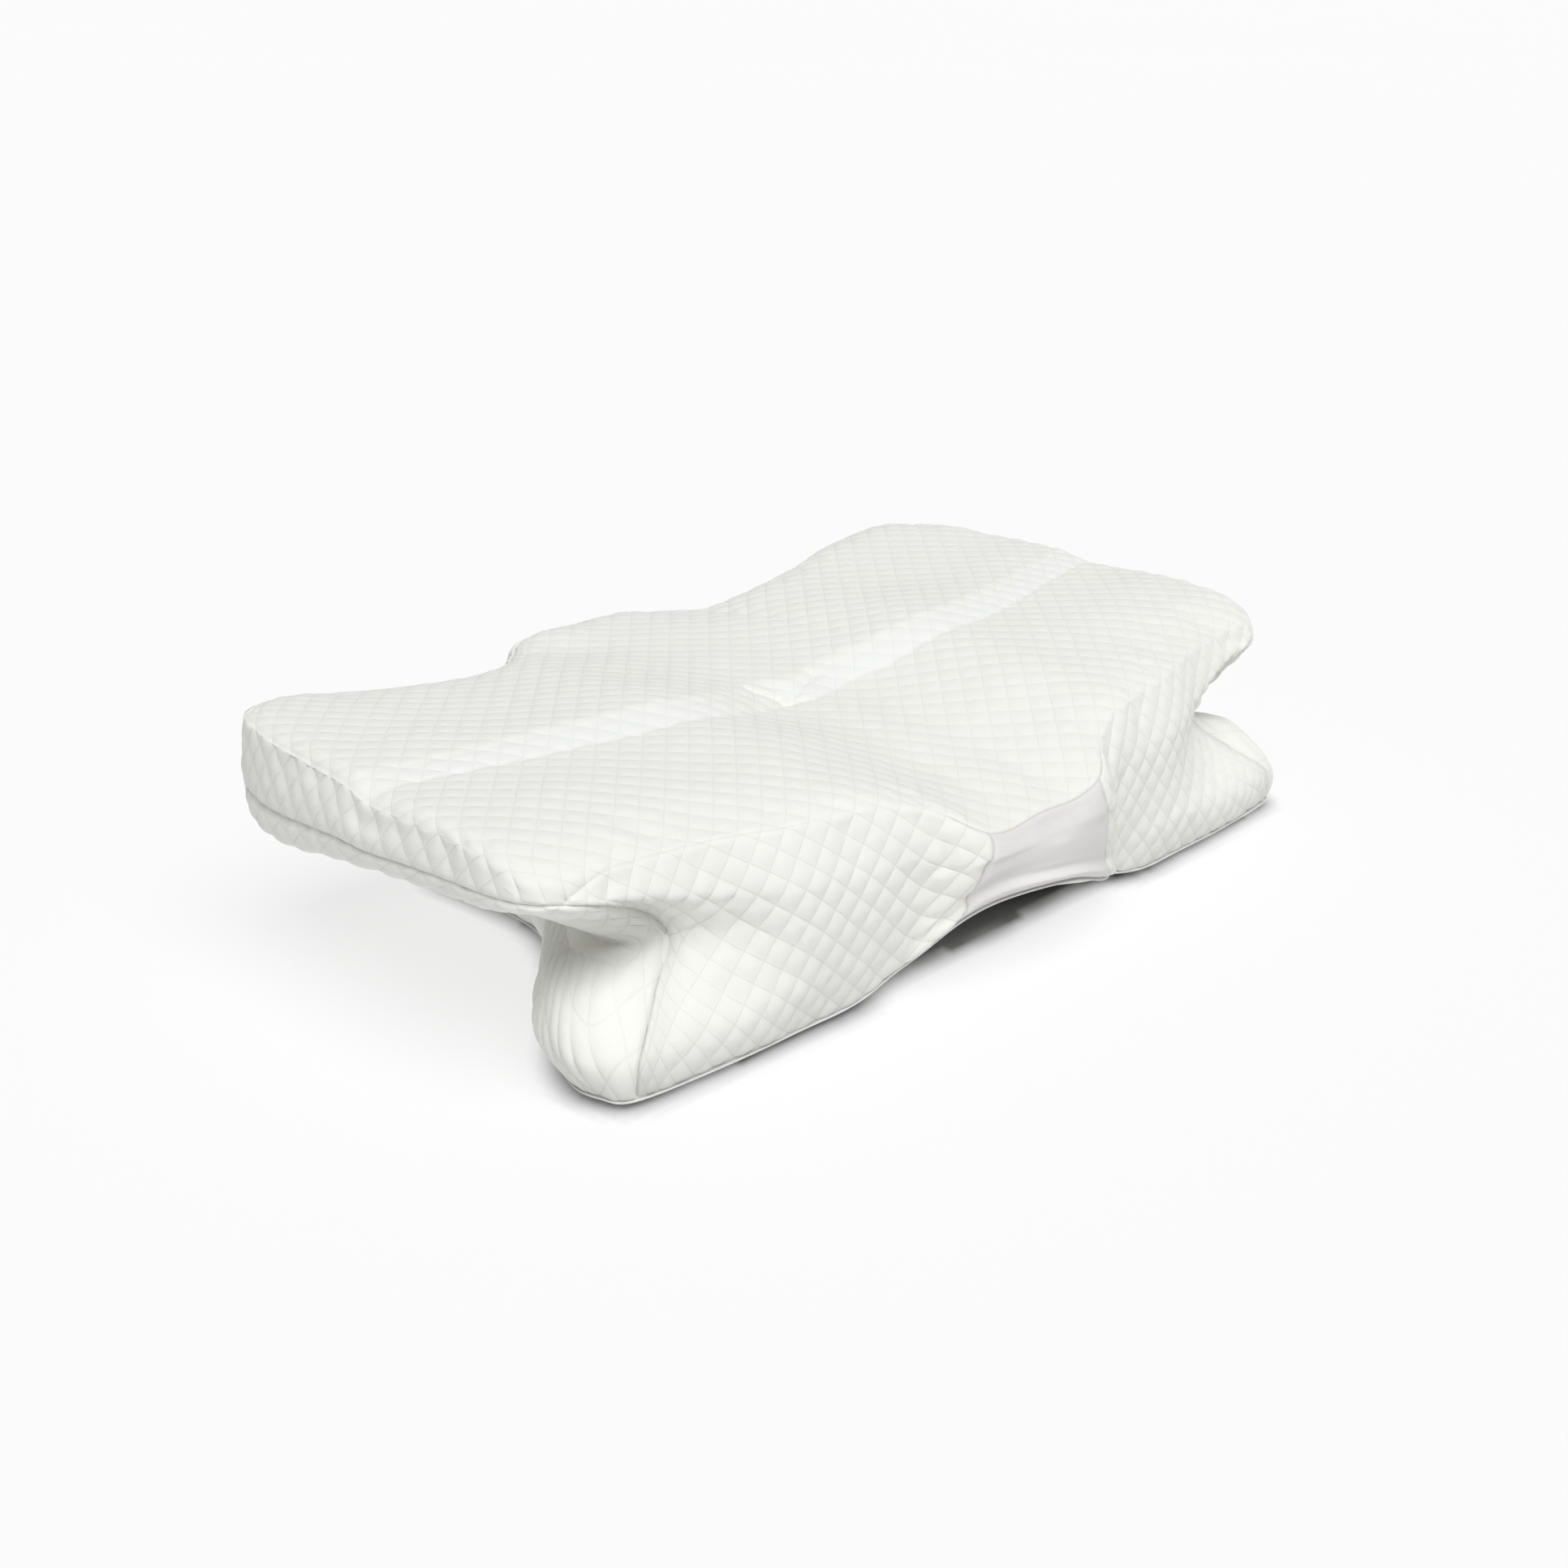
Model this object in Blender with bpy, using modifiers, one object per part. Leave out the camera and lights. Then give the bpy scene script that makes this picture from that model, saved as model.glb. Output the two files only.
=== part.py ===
"""Butterfly-shaped contoured neck pillow: a moulded foam core in a knitted liner and a quilted cover.

Frame: +X along the pillow, -Y the side the neck lies on, +Z up.  The origin is on the surface that the
pillow rests on, in the middle of its length and depth.  The rails below are given in centimetres and
describe the outside of the cover; everything inside it is an inward offset of that surface.
"""
import math

import bmesh
import bpy
import numpy as np

CM = 0.01
MM = 0.001

# Driving dimensions of the layers
COVER_THICKNESS = 4.0 * MM
LINER_THICKNESS = 0.8 * MM
LAYER_GAP = 0.4 * MM
SEAM_GAP = 0.8 * MM
MAX_SHELL_FACTOR = 1.6
LINER_DEPTH = COVER_THICKNESS + LAYER_GAP
CORE_DEPTH = LINER_DEPTH + LINER_THICKNESS + LAYER_GAP

# Rounding of the upper edge, in centimetres: how far it reaches in and down, and where its crest lies
EDGE_REACH = 1.3
EDGE_DROP = 0.9
CREST_REACH = 0.4
CREST_DROP = 0.22

# Lines along the middle that the rings of the top and of the base close onto, in centimetres
SPINE_REACH = 27.0
BASE_SPINE_REACH = 13.5
SPINE_SPREAD = 0.8

# How far each in-between rail lies from the rail above it to the rail below it, across and down: under
# the wing (in front of and on the wing's own stations) and on top of the foot
UNDERSIDE_ACROSS = (0.5, 0.35)
UNDERSIDE_DOWN = 0.42
FOOT_TOP_ACROSS = (0.45, 0.65)
FOOT_TOP_DOWN = 0.52
WING_FADE = (6.0, 7.5)

# Zip in the back wall
BACK_WALL_Y = 15.6 * CM
ZIP_Z = 2.2 * CM
ZIP_HALF_LENGTH = 14.3 * CM
ZIP_SLOT_HALF_HEIGHT = 11.0 * MM
COIL_HALF_GAP = 0.8 * MM
COIL_WIDTH = 2.4 * MM
COIL_FACE = 0.2 * MM
COIL_THICKNESS = 1.8 * MM
TAPE_THICKNESS = 0.6 * MM
TAPE_DEPTH = 1.9 * MM
STOP_LENGTH = 3.0 * MM
COIL_BEVEL = 0.5 * MM
STOP_BEVEL = 0.4 * MM

# Zip slider and pull tab
SLIDER_LENGTH = 10.0 * MM
SLIDER_HALF_HEIGHT = 4.4 * MM
SLIDER_TRAVEL = 0.268
SLIDER_REST_X = 13.4 * CM
PLATE_INNER = 0.5 * MM
PLATE_OUTER = 1.7 * MM
POST_HALF_HEIGHT = 0.45 * MM
ARCH_HALF_WIDTH = 1.0 * MM
ARCH_FOOT_OUTER = 4.2 * MM
ARCH_FOOT_INNER = 3.2 * MM
ARCH_UNDERSIDE = 3.1 * MM
ARCH_TOP = 4.1 * MM
PIVOT_OFFSET = 2.4 * MM
TAB_HALF_THICKNESS = 0.4 * MM
TAB_HALF_HEIGHT = 3.2 * MM
TAB_LENGTH = 24.0 * MM
TAB_CORNER = 0.8 * MM
PIN_HALF_WIDTH = 0.4 * MM
WINDOW_CLEARANCE = 0.35 * MM
WINDOW_REACH = 5.0 * MM
REAR_PLATE_GAP = 0.4 * MM
REAR_PLATE_THICKNESS = 1.0 * MM
POST_HALF_LENGTH = 2.0 * MM
JOIN_OVERLAP = 0.2 * MM

# Seam binding round the base and the care label
BINDING_RADIUS = 1.0 * MM
LABEL_SIZE = (3.0 * CM, 2.0 * CM)
LABEL_THICKNESS = 0.5 * MM
LABEL_X = -13.0 * CM
LABEL_ABOVE_ZIP = 5.0 * MM

COLLECTION_NAME = "contoured_neck_pillow"
CUTTER_COLLECTION_NAME = "cutters"

# Long profiles of the top, (y, z): along the middle, along the lobes and along the ends
MIDDLE_PROFILE = [
    (-19.5, 8.8), (-13.2, 9.7), (-7.2, 10.6), (-2.3, 11.25), (-1.8, 11.38), (0.0, 11.94), (0.4, 12.02),
    (8.8, 12.2), (19.8, 12.0),
]
LOBE_PROFILE = [
    (-16.2, 11.5), (-10.2, 12.4), (-5.2, 12.8), (-2.45, 12.88), (-2.05, 12.98), (-0.45, 13.52),
    (-0.05, 13.6), (6.8, 13.2), (15.3, 12.6),
]
END_PROFILE = [
    (-13.2, 11.9), (-9.2, 12.9), (-4.2, 13.25), (0.55, 13.12), (0.95, 13.2), (2.2, 13.5), (2.6, 13.56),
    (8.8, 13.7), (16.3, 13.6),
]

# The line (x, y) along which the step between the top's front and back halves runs, and where each
# long profile has that step
STEP_LINE = [(0, 0.1), (2.8, -1.9), (8.2, -2.5), (14.4, -2.4), (19.3, -1.2), (24, 0.0), (29, 1.1), (33, 1.8)]
STEP_IN_PROFILES = (-2.0, -2.2, 0.8)
STEP_KEPT_WITHIN = 3.0
STEP_FADES_OVER = 6.0

# How far from the middle each profile is the whole shape: the neck's hollow, the lobes and the ends
MIDDLE_HALF_WIDTH = 3.0
LOBE_START = 10.0
LOBE_END = 15.0
END_START = 29.0

# Rails round one half of the pillow, from the middle of the neck side (station 0) by the corner of the
# plain panel (1), the lobe (2-5), the arm groove and foot seam (6), the wing tip (7-8), the wing's end
# (9-12), the far corner (13), the back (14-18) and the tongue (19-20).
UPPER_EDGE = [
    (0, -19.3), (5, -19.4), (8.2, -17.1), (12, -16.1), (16.5, -15.4), (21.5, -14.0), (26, -13.2),
    (29.8, -12.7), (31.7, -10.9), (31.9, -6.2), (31.7, -0.2), (31.0, 5.8), (30.3, 11.2), (28.7, 15.2),
    (26, 16.9), (21.5, 16.4), (16, 15.0), (11, 14.5), (7.6, 15.6), (5.7, 18.5), (0, 19.2),
]
WING_SEAM = [
    (0, -19.7, 7.4), (5.3, -19.6, 7.4), (8.5, -17.6, 8.0), (12.3, -16.8, 8.6), (16.8, -16.3, 8.8),
    (21.8, -14.6, 9.3), (26.2, -13.7, 10.0), (29.9, -12.9, 10.3), (31.8, -10.6, 10.2), (31.9, -5.7, 9.8),
    (31.7, -0.2, 9.4), (31.1, 5.8, 9.0), (30.3, 11.2, 8.5), (28.6, 15.3, 8.5), (26, 17.4, 8.8),
    (21.3, 17.0, 8.8), (15.8, 15.7, 8.6), (11, 15.5, 8.4), (7.5, 16.6, 8.4), (5.8, 19.0, 8.5),
    (0, 19.6, 8.5),
]
GROOVE = [
    (0, -19.8, 6.2), (5.9, -19.3, 5.8), (9.0, -17.5, 5.2), (12.6, -17.0, 5.5), (16.8, -16.5, 5.8),
    (20.8, -14.5, 7.0), (23.5, -13.0, 6.9), (25.0, -11.6, 6.5), (24.9, -8.2, 6.1), (22.8, -4.4, 6.4),
    (20.9, 0.2, 6.5), (19.6, 4.8, 6.5), (19, 9.3, 6.5), (18.3, 13.4, 6.4), (16.0, 15.2, 6.4),
    (13, 15.6, 6.4), (11, 15.6, 6.4), (9, 15.6, 6.4), (7, 15.6, 6.4), (5, 15.6, 6.4), (0, 15.6, 6.4),
]
FOOT = [
    (0, -19.8, 5.2), (6.5, -18.8, 4.4), (9.5, -17.2, 2.8), (12.8, -16.8, 2.6), (17, -16.6, 2.6),
    (22, -16.3, 2.6), (27.1, -15.8, 2.7), (29.8, -14.4, 2.7), (30.5, -11.7, 2.7), (28.3, -7.9, 2.7),
    (22.8, -2.9, 2.6), (19.3, 3.3, 3.0), (18.3, 9.3, 3.0), (17.8, 13.4, 3.0), (15.8, 15.2, 3.0),
    (13, 15.6, 3.0), (11, 15.6, 3.0), (9, 15.6, 3.0), (7, 15.6, 3.0), (5, 15.6, 3.0), (0, 15.6, 3.0),
]
BASE_EDGE = [
    (0, -19.6, 4.1), (7.0, -18.2, 2.8), (9.7, -16.7, 1.2), (12.8, -16.3, 0.5), (17, -16.1, 0.4),
    (22, -16.0, 0.4), (27.6, -15.7, 0.4), (29.2, -14.4, 0.4), (29.4, -12.2, 0.4), (27.2, -8.5, 0.4),
    (22.1, -3.1, 0.4), (18.2, 3.1, 0.4), (17.4, 9.3, 0.4), (17.2, 13.4, 0.4), (15.6, 15.2, 0.4),
    (13, 15.6, 0.4), (11, 15.6, 0.4), (9, 15.6, 0.4), (7, 15.6, 0.4), (5, 15.6, 0.4), (0, 15.6, 0.4),
]
CONTACT_EDGE = [
    (0, -10.7, 0), (6.3, -11.5, 0), (9.9, -13.4, 0), (12.8, -15.7, 0), (17, -15.5, 0), (22, -15.2, 0),
    (27.1, -15.1, 0), (28.5, -14.0, 0), (28.7, -12.1, 0), (26.7, -8.7, 0), (21.4, -3.4, 0), (17.5, 3.0, 0),
    (16.7, 9.2, 0), (16.5, 12.9, 0), (15.2, 14.6, 0), (12.8, 15.0, 0), (11, 15.0, 0), (9, 15.0, 0),
    (7, 15.0, 0), (5, 15.0, 0), (0, 15.0, 0),
]
LAST_STATION = len(UPPER_EDGE) - 1

# Stations of the cover's upright seams
PANEL_CORNER = 1.0
FOOT_SEAM = 6.0
WING_START = 7.0
FAR_CORNER = 13.0

# Mesh density
STEPS_PER_STATION = 2
TOP_RINGS = (0.0, 0.16, 0.34, 0.54, 0.72, 0.88)
BASE_RINGS = (0.7, 0.35, 0.0)
ROWS_PER_RAIL = 1

# Rows of the mesh where the cover's long seams lie
ROW_CREST = len(TOP_RINGS) + ROWS_PER_RAIL
ROW_SEAM = len(TOP_RINGS) + 3 * ROWS_PER_RAIL
ROW_BASE = len(TOP_RINGS) + 8 * ROWS_PER_RAIL


def smooth_step(t):
    t = np.clip(t, 0.0, 1.0)
    return t * t * (3.0 - 2.0 * t)


def curve_height(points, at):
    """Height of a line of points at the given places: a cubic that never overshoots its points."""
    points = np.array(points, float)
    places, heights = points[:, 0], points[:, 1]
    steps = np.diff(places)
    slopes = np.diff(heights) / steps
    tangents = np.zeros(len(places))
    tangents[0] = slopes[0]
    tangents[-1] = slopes[-1]
    for i in range(1, len(places) - 1):
        if slopes[i - 1] * slopes[i] > 0:
            tangents[i] = 2.0 * slopes[i - 1] * slopes[i] / (slopes[i - 1] + slopes[i])
    at = np.clip(at, places[0], places[-1])
    i = np.clip(np.searchsorted(places, at) - 1, 0, len(steps) - 1)
    t = (at - places[i]) / steps[i]
    ends = heights[i] * (1 + 2 * t) * (1 - t) ** 2 + heights[i + 1] * t * t * (3 - 2 * t)
    return ends + steps[i] * (tangents[i] * t * (1 - t) ** 2 + tangents[i + 1] * t * t * (t - 1))


def top_height(x, y):
    """Height of the top surface in centimetres: the three long profiles blended across the length."""
    reach = np.abs(x)
    step_y = curve_height(STEP_LINE, reach)
    nearness = 1.0 - smooth_step((np.abs(y - step_y) - STEP_KEPT_WITHIN) / STEP_FADES_OVER)
    middle, lobe, end = [
        curve_height(profile, y - (step_y - own_step) * nearness)
        for profile, own_step in zip((MIDDLE_PROFILE, LOBE_PROFILE, END_PROFILE), STEP_IN_PROFILES)
    ]
    lobes = smooth_step((reach - MIDDLE_HALF_WIDTH) / (LOBE_START - MIDDLE_HALF_WIDTH))
    ends = smooth_step((reach - LOBE_END) / (END_START - LOBE_END))
    return middle * (1 - lobes) + (lobe * (1 - ends) + end * ends) * lobes


def spline(points, steps, closed):
    """Catmull-Rom curve through the points, with the given number of steps between two of them."""
    points = np.asarray(points, float)
    count = len(points)
    if closed:
        padded = np.vstack([points[-1:], points, points[:2]])
        spans = count
    else:
        padded = np.vstack([2 * points[0] - points[1], points, 2 * points[-1] - points[-2]])
        spans = count - 1
    curve = []
    for i in range(spans):
        before, start, end, after = padded[i:i + 4]
        for k in range(steps):
            t = k / steps
            linear = (end - before) * t
            square = (2 * before - 5 * start + 4 * end - after) * t * t
            cube = (3 * start - before - 3 * end + after) * t ** 3
            curve.append(0.5 * (2 * start + linear + square + cube))
    if not closed:
        curve.append(points[-1])
    return np.array(curve)


def full_rail(half_rail):
    """The rail all the way round, from its right half, smoothed between the stations."""
    half = np.array(half_rail, float)
    left = half[1:-1][::-1].copy()
    left[:, 0] *= -1
    return spline(np.vstack([half, left]), STEPS_PER_STATION, closed=True)


def spine_points(count, end_scale):
    """The line along the middle that the rings of the top and the base close onto."""
    station = np.arange(count) / STEPS_PER_STATION
    side = np.where(station <= LAST_STATION, 1.0, -1.0)
    station = np.where(station <= LAST_STATION, station, 2 * LAST_STATION - station)
    share = np.minimum(station, LAST_STATION - station) / (LAST_STATION / 2)
    return np.column_stack([side * end_scale * share ** SPINE_SPREAD, np.zeros(count)])


def rail_between(upper, lower, across, down):
    """A rail between two others; its share of the way across changes towards the wing."""
    station = np.arange(len(upper)) / STEPS_PER_STATION
    reach = np.minimum(station, 2 * LAST_STATION - station)
    on_wing = smooth_step((reach - WING_FADE[0]) / (WING_FADE[1] - WING_FADE[0]))
    share = across[0] + (across[1] - across[0]) * on_wing
    rail = upper + (lower - upper) * share[:, None]
    rail[:, 2] = upper[:, 2] + (lower[:, 2] - upper[:, 2]) * down
    return rail


def surface_rows():
    """Rows of points from the spine of the top, over the edge and down the wall to the base's spine."""
    edge = full_rail(UPPER_EDGE)
    seam, groove, foot, base, contact = [
        full_rail(rail) for rail in (WING_SEAM, GROOVE, FOOT, BASE_EDGE, CONTACT_EDGE)
    ]
    spine = spine_points(len(edge), SPINE_REACH)
    outward = edge - spine
    outward /= np.linalg.norm(outward, axis=1, keepdims=True)
    inner = edge - outward * EDGE_REACH
    rows = []
    for share in TOP_RINGS:
        ring = spine + (inner - spine) * share
        rows.append(np.column_stack([ring, top_height(ring[:, 0], ring[:, 1])]))
    crest = edge - outward * CREST_REACH
    crest_height = top_height(edge[:, 0], edge[:, 1])
    wall = [
        np.column_stack([inner, top_height(inner[:, 0], inner[:, 1])]),
        np.column_stack([crest, crest_height - CREST_DROP]),
        np.column_stack([edge, crest_height - EDGE_DROP]),
        seam,
    ]
    underside = rail_between(seam, groove, UNDERSIDE_ACROSS, UNDERSIDE_DOWN)
    foot_top = rail_between(groove, foot, FOOT_TOP_ACROSS, FOOT_TOP_DOWN)
    wall += [underside, groove, foot_top, foot, base, contact]
    columns = np.stack(wall, axis=1)
    wall_rows = np.array([spline(column, ROWS_PER_RAIL, closed=False) for column in columns])
    rows += list(wall_rows.transpose(1, 0, 2))
    base_spine = spine_points(len(edge), BASE_SPINE_REACH)
    for share in BASE_RINGS:
        ring = base_spine + (contact[:, :2] - base_spine) * share
        rows.append(np.column_stack([ring, np.zeros(len(ring))]))
    return np.array(rows) * CM


def station_of(column, columns):
    """Signed station of the middle of a face column: positive on the right, negative on the left."""
    station = (column + 0.5) / STEPS_PER_STATION
    if station > LAST_STATION:
        return station - 2 * LAST_STATION
    return station


def panel_of(row, station):
    """Name of the cover panel that holds the face at this row and signed station."""
    reach = abs(station)
    side = "right" if station > 0 else "left"
    if row >= ROW_BASE:
        return "cover_bottom_panel"
    if row < ROW_CREST:
        return "cover_top_panel"
    if row < ROW_SEAM and WING_START <= reach <= FAR_CORNER:
        return "cover_top_panel"
    if reach < PANEL_CORNER:
        return "cover_front_center_panel"
    if reach < FOOT_SEAM or (reach < WING_START and row < ROW_SEAM):
        return "cover_front_" + side + "_panel"
    if reach < FAR_CORNER:
        return "cover_side_" + side + "_panel"
    return "cover_back_panel"


def remove_everything():
    for item in list(bpy.data.objects):
        bpy.data.objects.remove(item, do_unlink=True)


def new_collection(name):
    collection = bpy.data.collections.new(name)
    bpy.context.scene.collection.children.link(collection)
    return collection


def new_material(name, colour, roughness, metallic=0.0):
    material = bpy.data.materials.new(name)
    material.use_nodes = True
    shader = material.node_tree.nodes["Principled BSDF"]
    shader.inputs["Base Color"].default_value = (*colour, 1.0)
    shader.inputs["Roughness"].default_value = roughness
    shader.inputs["Metallic"].default_value = metallic
    material.diffuse_color = (*colour, 1.0)
    return material


def new_object(name, bm, material, collection):
    mesh = bpy.data.meshes.new(name)
    bm.to_mesh(mesh)
    bm.free()
    mesh.materials.append(material)
    item = bpy.data.objects.new(name, mesh)
    collection.objects.link(item)
    return item


def body_surface():
    """The closed outside of the cover as a mesh whose faces carry their panel's index."""
    rows = surface_rows()
    row_count, column_count, _ = rows.shape
    bm = bmesh.new()
    layer = bm.faces.layers.int.new("panel")
    grid = [[bm.verts.new(rows[r, c]) for c in range(column_count)] for r in range(row_count)]
    names = []
    for r in range(row_count - 1):
        for c in range(column_count):
            after = (c + 1) % column_count
            name = panel_of(r, station_of(c, column_count))
            if name not in names:
                names.append(name)
            corners = (grid[r][c], grid[r + 1][c], grid[r + 1][after], grid[r][after])
            face = bm.faces.new(corners)
            face[layer] = names.index(name)
    bmesh.ops.remove_doubles(bm, verts=bm.verts[:], dist=0.1 * MM)
    bmesh.ops.dissolve_degenerate(bm, edges=bm.edges[:], dist=0.1 * MM)
    bmesh.ops.recalc_face_normals(bm, faces=bm.faces[:])
    bm.normal_update()
    return bm, names


def offset_positions(bm, depth):
    """Where every vertex lands on the parallel surface that lies this deep inside."""
    return [
        vert.co - vert.normal * depth * min(vert.calc_shell_factor(), MAX_SHELL_FACTOR) for vert in bm.verts
    ]


def split_quads(bm):
    """Splits every quad from its first to its third corner, so that all the layers fold alike."""
    bmesh.ops.triangulate(bm, faces=bm.faces[:], quad_method="FIXED")


def offset_solid(name, bm, depth, material, collection):
    """A solid body whose skin lies this deep inside the cover's outer surface."""
    inner = bm.copy()
    for vert, place in zip(inner.verts, offset_positions(bm, depth)):
        vert.co = place
    split_quads(inner)
    return new_object(name, inner, material, collection)


def border_move(vert, distance):
    """How a vertex of a patch's open border slides inwards along the patch's own edges."""
    away = [edge.other_vert(vert).co - vert.co for edge in vert.link_edges if edge.is_boundary]
    inward = [edge.other_vert(vert).co - vert.co for edge in vert.link_edges if not edge.is_boundary]
    sliding = inward if inward else away
    return sum((step.normalized() * distance for step in sliding), vert.co * 0.0)


def pull_in_border(bm, distance):
    moves = [(vert, border_move(vert, distance)) for vert in bm.verts if vert.is_boundary]
    for vert, move in moves:
        vert.co += move


def panel_sheet(bm, keep, depth):
    """The faces that keep() accepts, laid this deep, with their border pulled back from the seam."""
    sheet = bm.copy()
    for vert, place in zip(sheet.verts, offset_positions(bm, depth)):
        vert.co = place
    layer = sheet.faces.layers.int["panel"]
    dropped = [face for face in sheet.faces if not keep(face[layer])]
    bmesh.ops.delete(sheet, geom=dropped, context="FACES")
    pull_in_border(sheet, SEAM_GAP / 2)
    sheet.verts.index_update()
    return sheet


def shell_piece(name, bm, keep, depth, thickness, material, collection):
    """A sheet of the given thickness whose outer side lies this deep, over the accepted panels."""
    outer = panel_sheet(bm, keep, depth)
    inner = panel_sheet(bm, keep, depth + thickness)
    solid = bmesh.new()
    front = [solid.verts.new(vert.co) for vert in outer.verts]
    rear = [solid.verts.new(vert.co) for vert in inner.verts]
    for face in outer.faces:
        corners = [vert.index for vert in face.verts]
        solid.faces.new([front[i] for i in corners])
        solid.faces.new([rear[i] for i in corners[:1] + corners[:0:-1]])
    for edge in outer.edges:
        if edge.is_boundary:
            loop = edge.link_loops[0]
            start, end = loop.vert.index, loop.link_loop_next.vert.index
            rim = [front[end], front[start], rear[start], rear[end]]
            if front[start].co[:] < front[end].co[:]:
                rim = rim[1:] + rim[:1]
            solid.faces.new(rim)
    split_quads(solid)
    outer.free()
    inner.free()
    return new_object(name, solid, material, collection)


def box_mesh(low, high):
    bm = bmesh.new()
    size = [high[i] - low[i] for i in range(3)]
    middle = [(high[i] + low[i]) / 2 for i in range(3)]
    bmesh.ops.create_cube(bm, size=1.0)
    bmesh.ops.scale(bm, vec=size, verts=bm.verts[:])
    bmesh.ops.translate(bm, vec=middle, verts=bm.verts[:])
    return bm


def box_piece(name, low, high, material, collection, bevel=0.0):
    item = new_object(name, box_mesh(low, high), material, collection)
    if bevel:
        modifier = item.modifiers.new("rounded_edges", "BEVEL")
        modifier.width = bevel
        modifier.segments = 1
    return item


def cut(item, cutter):
    cutter.hide_render = True
    cutter.display_type = "WIRE"
    modifier = item.modifiers.new("cut", "BOOLEAN")
    modifier.operation = "DIFFERENCE"
    modifier.solver = "EXACT"
    modifier.object = cutter


def outline_piece(name, outline, holes, half_depth, material, collection):
    """A flat outline in X and Z with holes, thickened along Y about the object's origin."""
    curve = bpy.data.curves.new(name, "CURVE")
    curve.dimensions = "2D"
    curve.fill_mode = "BOTH"
    curve.extrude = half_depth
    for points in [outline] + holes:
        line = curve.splines.new("POLY")
        line.points.add(len(points) - 1)
        for point, (x, z) in zip(line.points, points):
            point.co = (x, z, 0.0, 1.0)
        line.use_cyclic_u = True
    curve.materials.append(material)
    item = bpy.data.objects.new(name, curve)
    item.rotation_euler = (math.pi / 2, 0.0, 0.0)
    collection.objects.link(item)
    return item


def rounded_rectangle(low_x, high_x, half_height, radius, arc_steps=4):
    corners = [
        (high_x - radius, half_height - radius, 0.0),
        (low_x + radius, half_height - radius, 0.5 * math.pi),
        (low_x + radius, radius - half_height, math.pi),
        (high_x - radius, radius - half_height, 1.5 * math.pi),
    ]
    points = []
    for x, z, start in corners:
        for k in range(arc_steps + 1):
            angle = start + 0.5 * math.pi * k / arc_steps
            points.append((x + radius * math.cos(angle), z + radius * math.sin(angle)))
    return points


def make_zip(collection, cutters, materials, back_panel):
    """Tapes, coils, stops, slider and pull tab in a slot of the back panel."""
    slot_half_length = ZIP_HALF_LENGTH + SEAM_GAP
    slot = box_piece(
        "zip_slot_cutter",
        (-slot_half_length, BACK_WALL_Y - 2 * COVER_THICKNESS, ZIP_Z - ZIP_SLOT_HALF_HEIGHT),
        (slot_half_length, BACK_WALL_Y + COVER_THICKNESS, ZIP_Z + ZIP_SLOT_HALF_HEIGHT),
        materials["tape"],
        cutters,
    )
    cut(back_panel, slot)
    tape_y = (BACK_WALL_Y - TAPE_DEPTH - TAPE_THICKNESS, BACK_WALL_Y - TAPE_DEPTH)
    coil_y = (BACK_WALL_Y + COIL_FACE - COIL_THICKNESS, BACK_WALL_Y + COIL_FACE)
    coil_end = ZIP_HALF_LENGTH - STOP_LENGTH - LAYER_GAP
    tape_reach = ZIP_SLOT_HALF_HEIGHT - SEAM_GAP
    for side, sign in (("upper", 1), ("lower", -1)):
        tape_z = sorted((ZIP_Z + sign * COIL_HALF_GAP, ZIP_Z + sign * tape_reach))
        coil_z = sorted((ZIP_Z + sign * COIL_HALF_GAP, ZIP_Z + sign * (COIL_HALF_GAP + COIL_WIDTH)))
        box_piece(
            "zip_tape_" + side,
            (-ZIP_HALF_LENGTH, tape_y[0], tape_z[0]),
            (ZIP_HALF_LENGTH, tape_y[1], tape_z[1]),
            materials["tape"],
            collection,
        )
        box_piece(
            "zip_coil_" + side,
            (-coil_end, coil_y[0], coil_z[0]),
            (coil_end, coil_y[1], coil_z[1]),
            materials["coil"],
            collection,
            bevel=COIL_BEVEL,
        )
    stop_reach = COIL_HALF_GAP + COIL_WIDTH
    for end_name, end in (("closed", ZIP_HALF_LENGTH), ("open", STOP_LENGTH - ZIP_HALF_LENGTH)):
        box_piece(
            "zip_" + end_name + "_end_stop",
            (end - STOP_LENGTH, coil_y[0], ZIP_Z - stop_reach),
            (end, coil_y[1], ZIP_Z + stop_reach),
            materials["coil"],
            collection,
            bevel=STOP_BEVEL,
        )
    make_slider(collection, materials)


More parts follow.
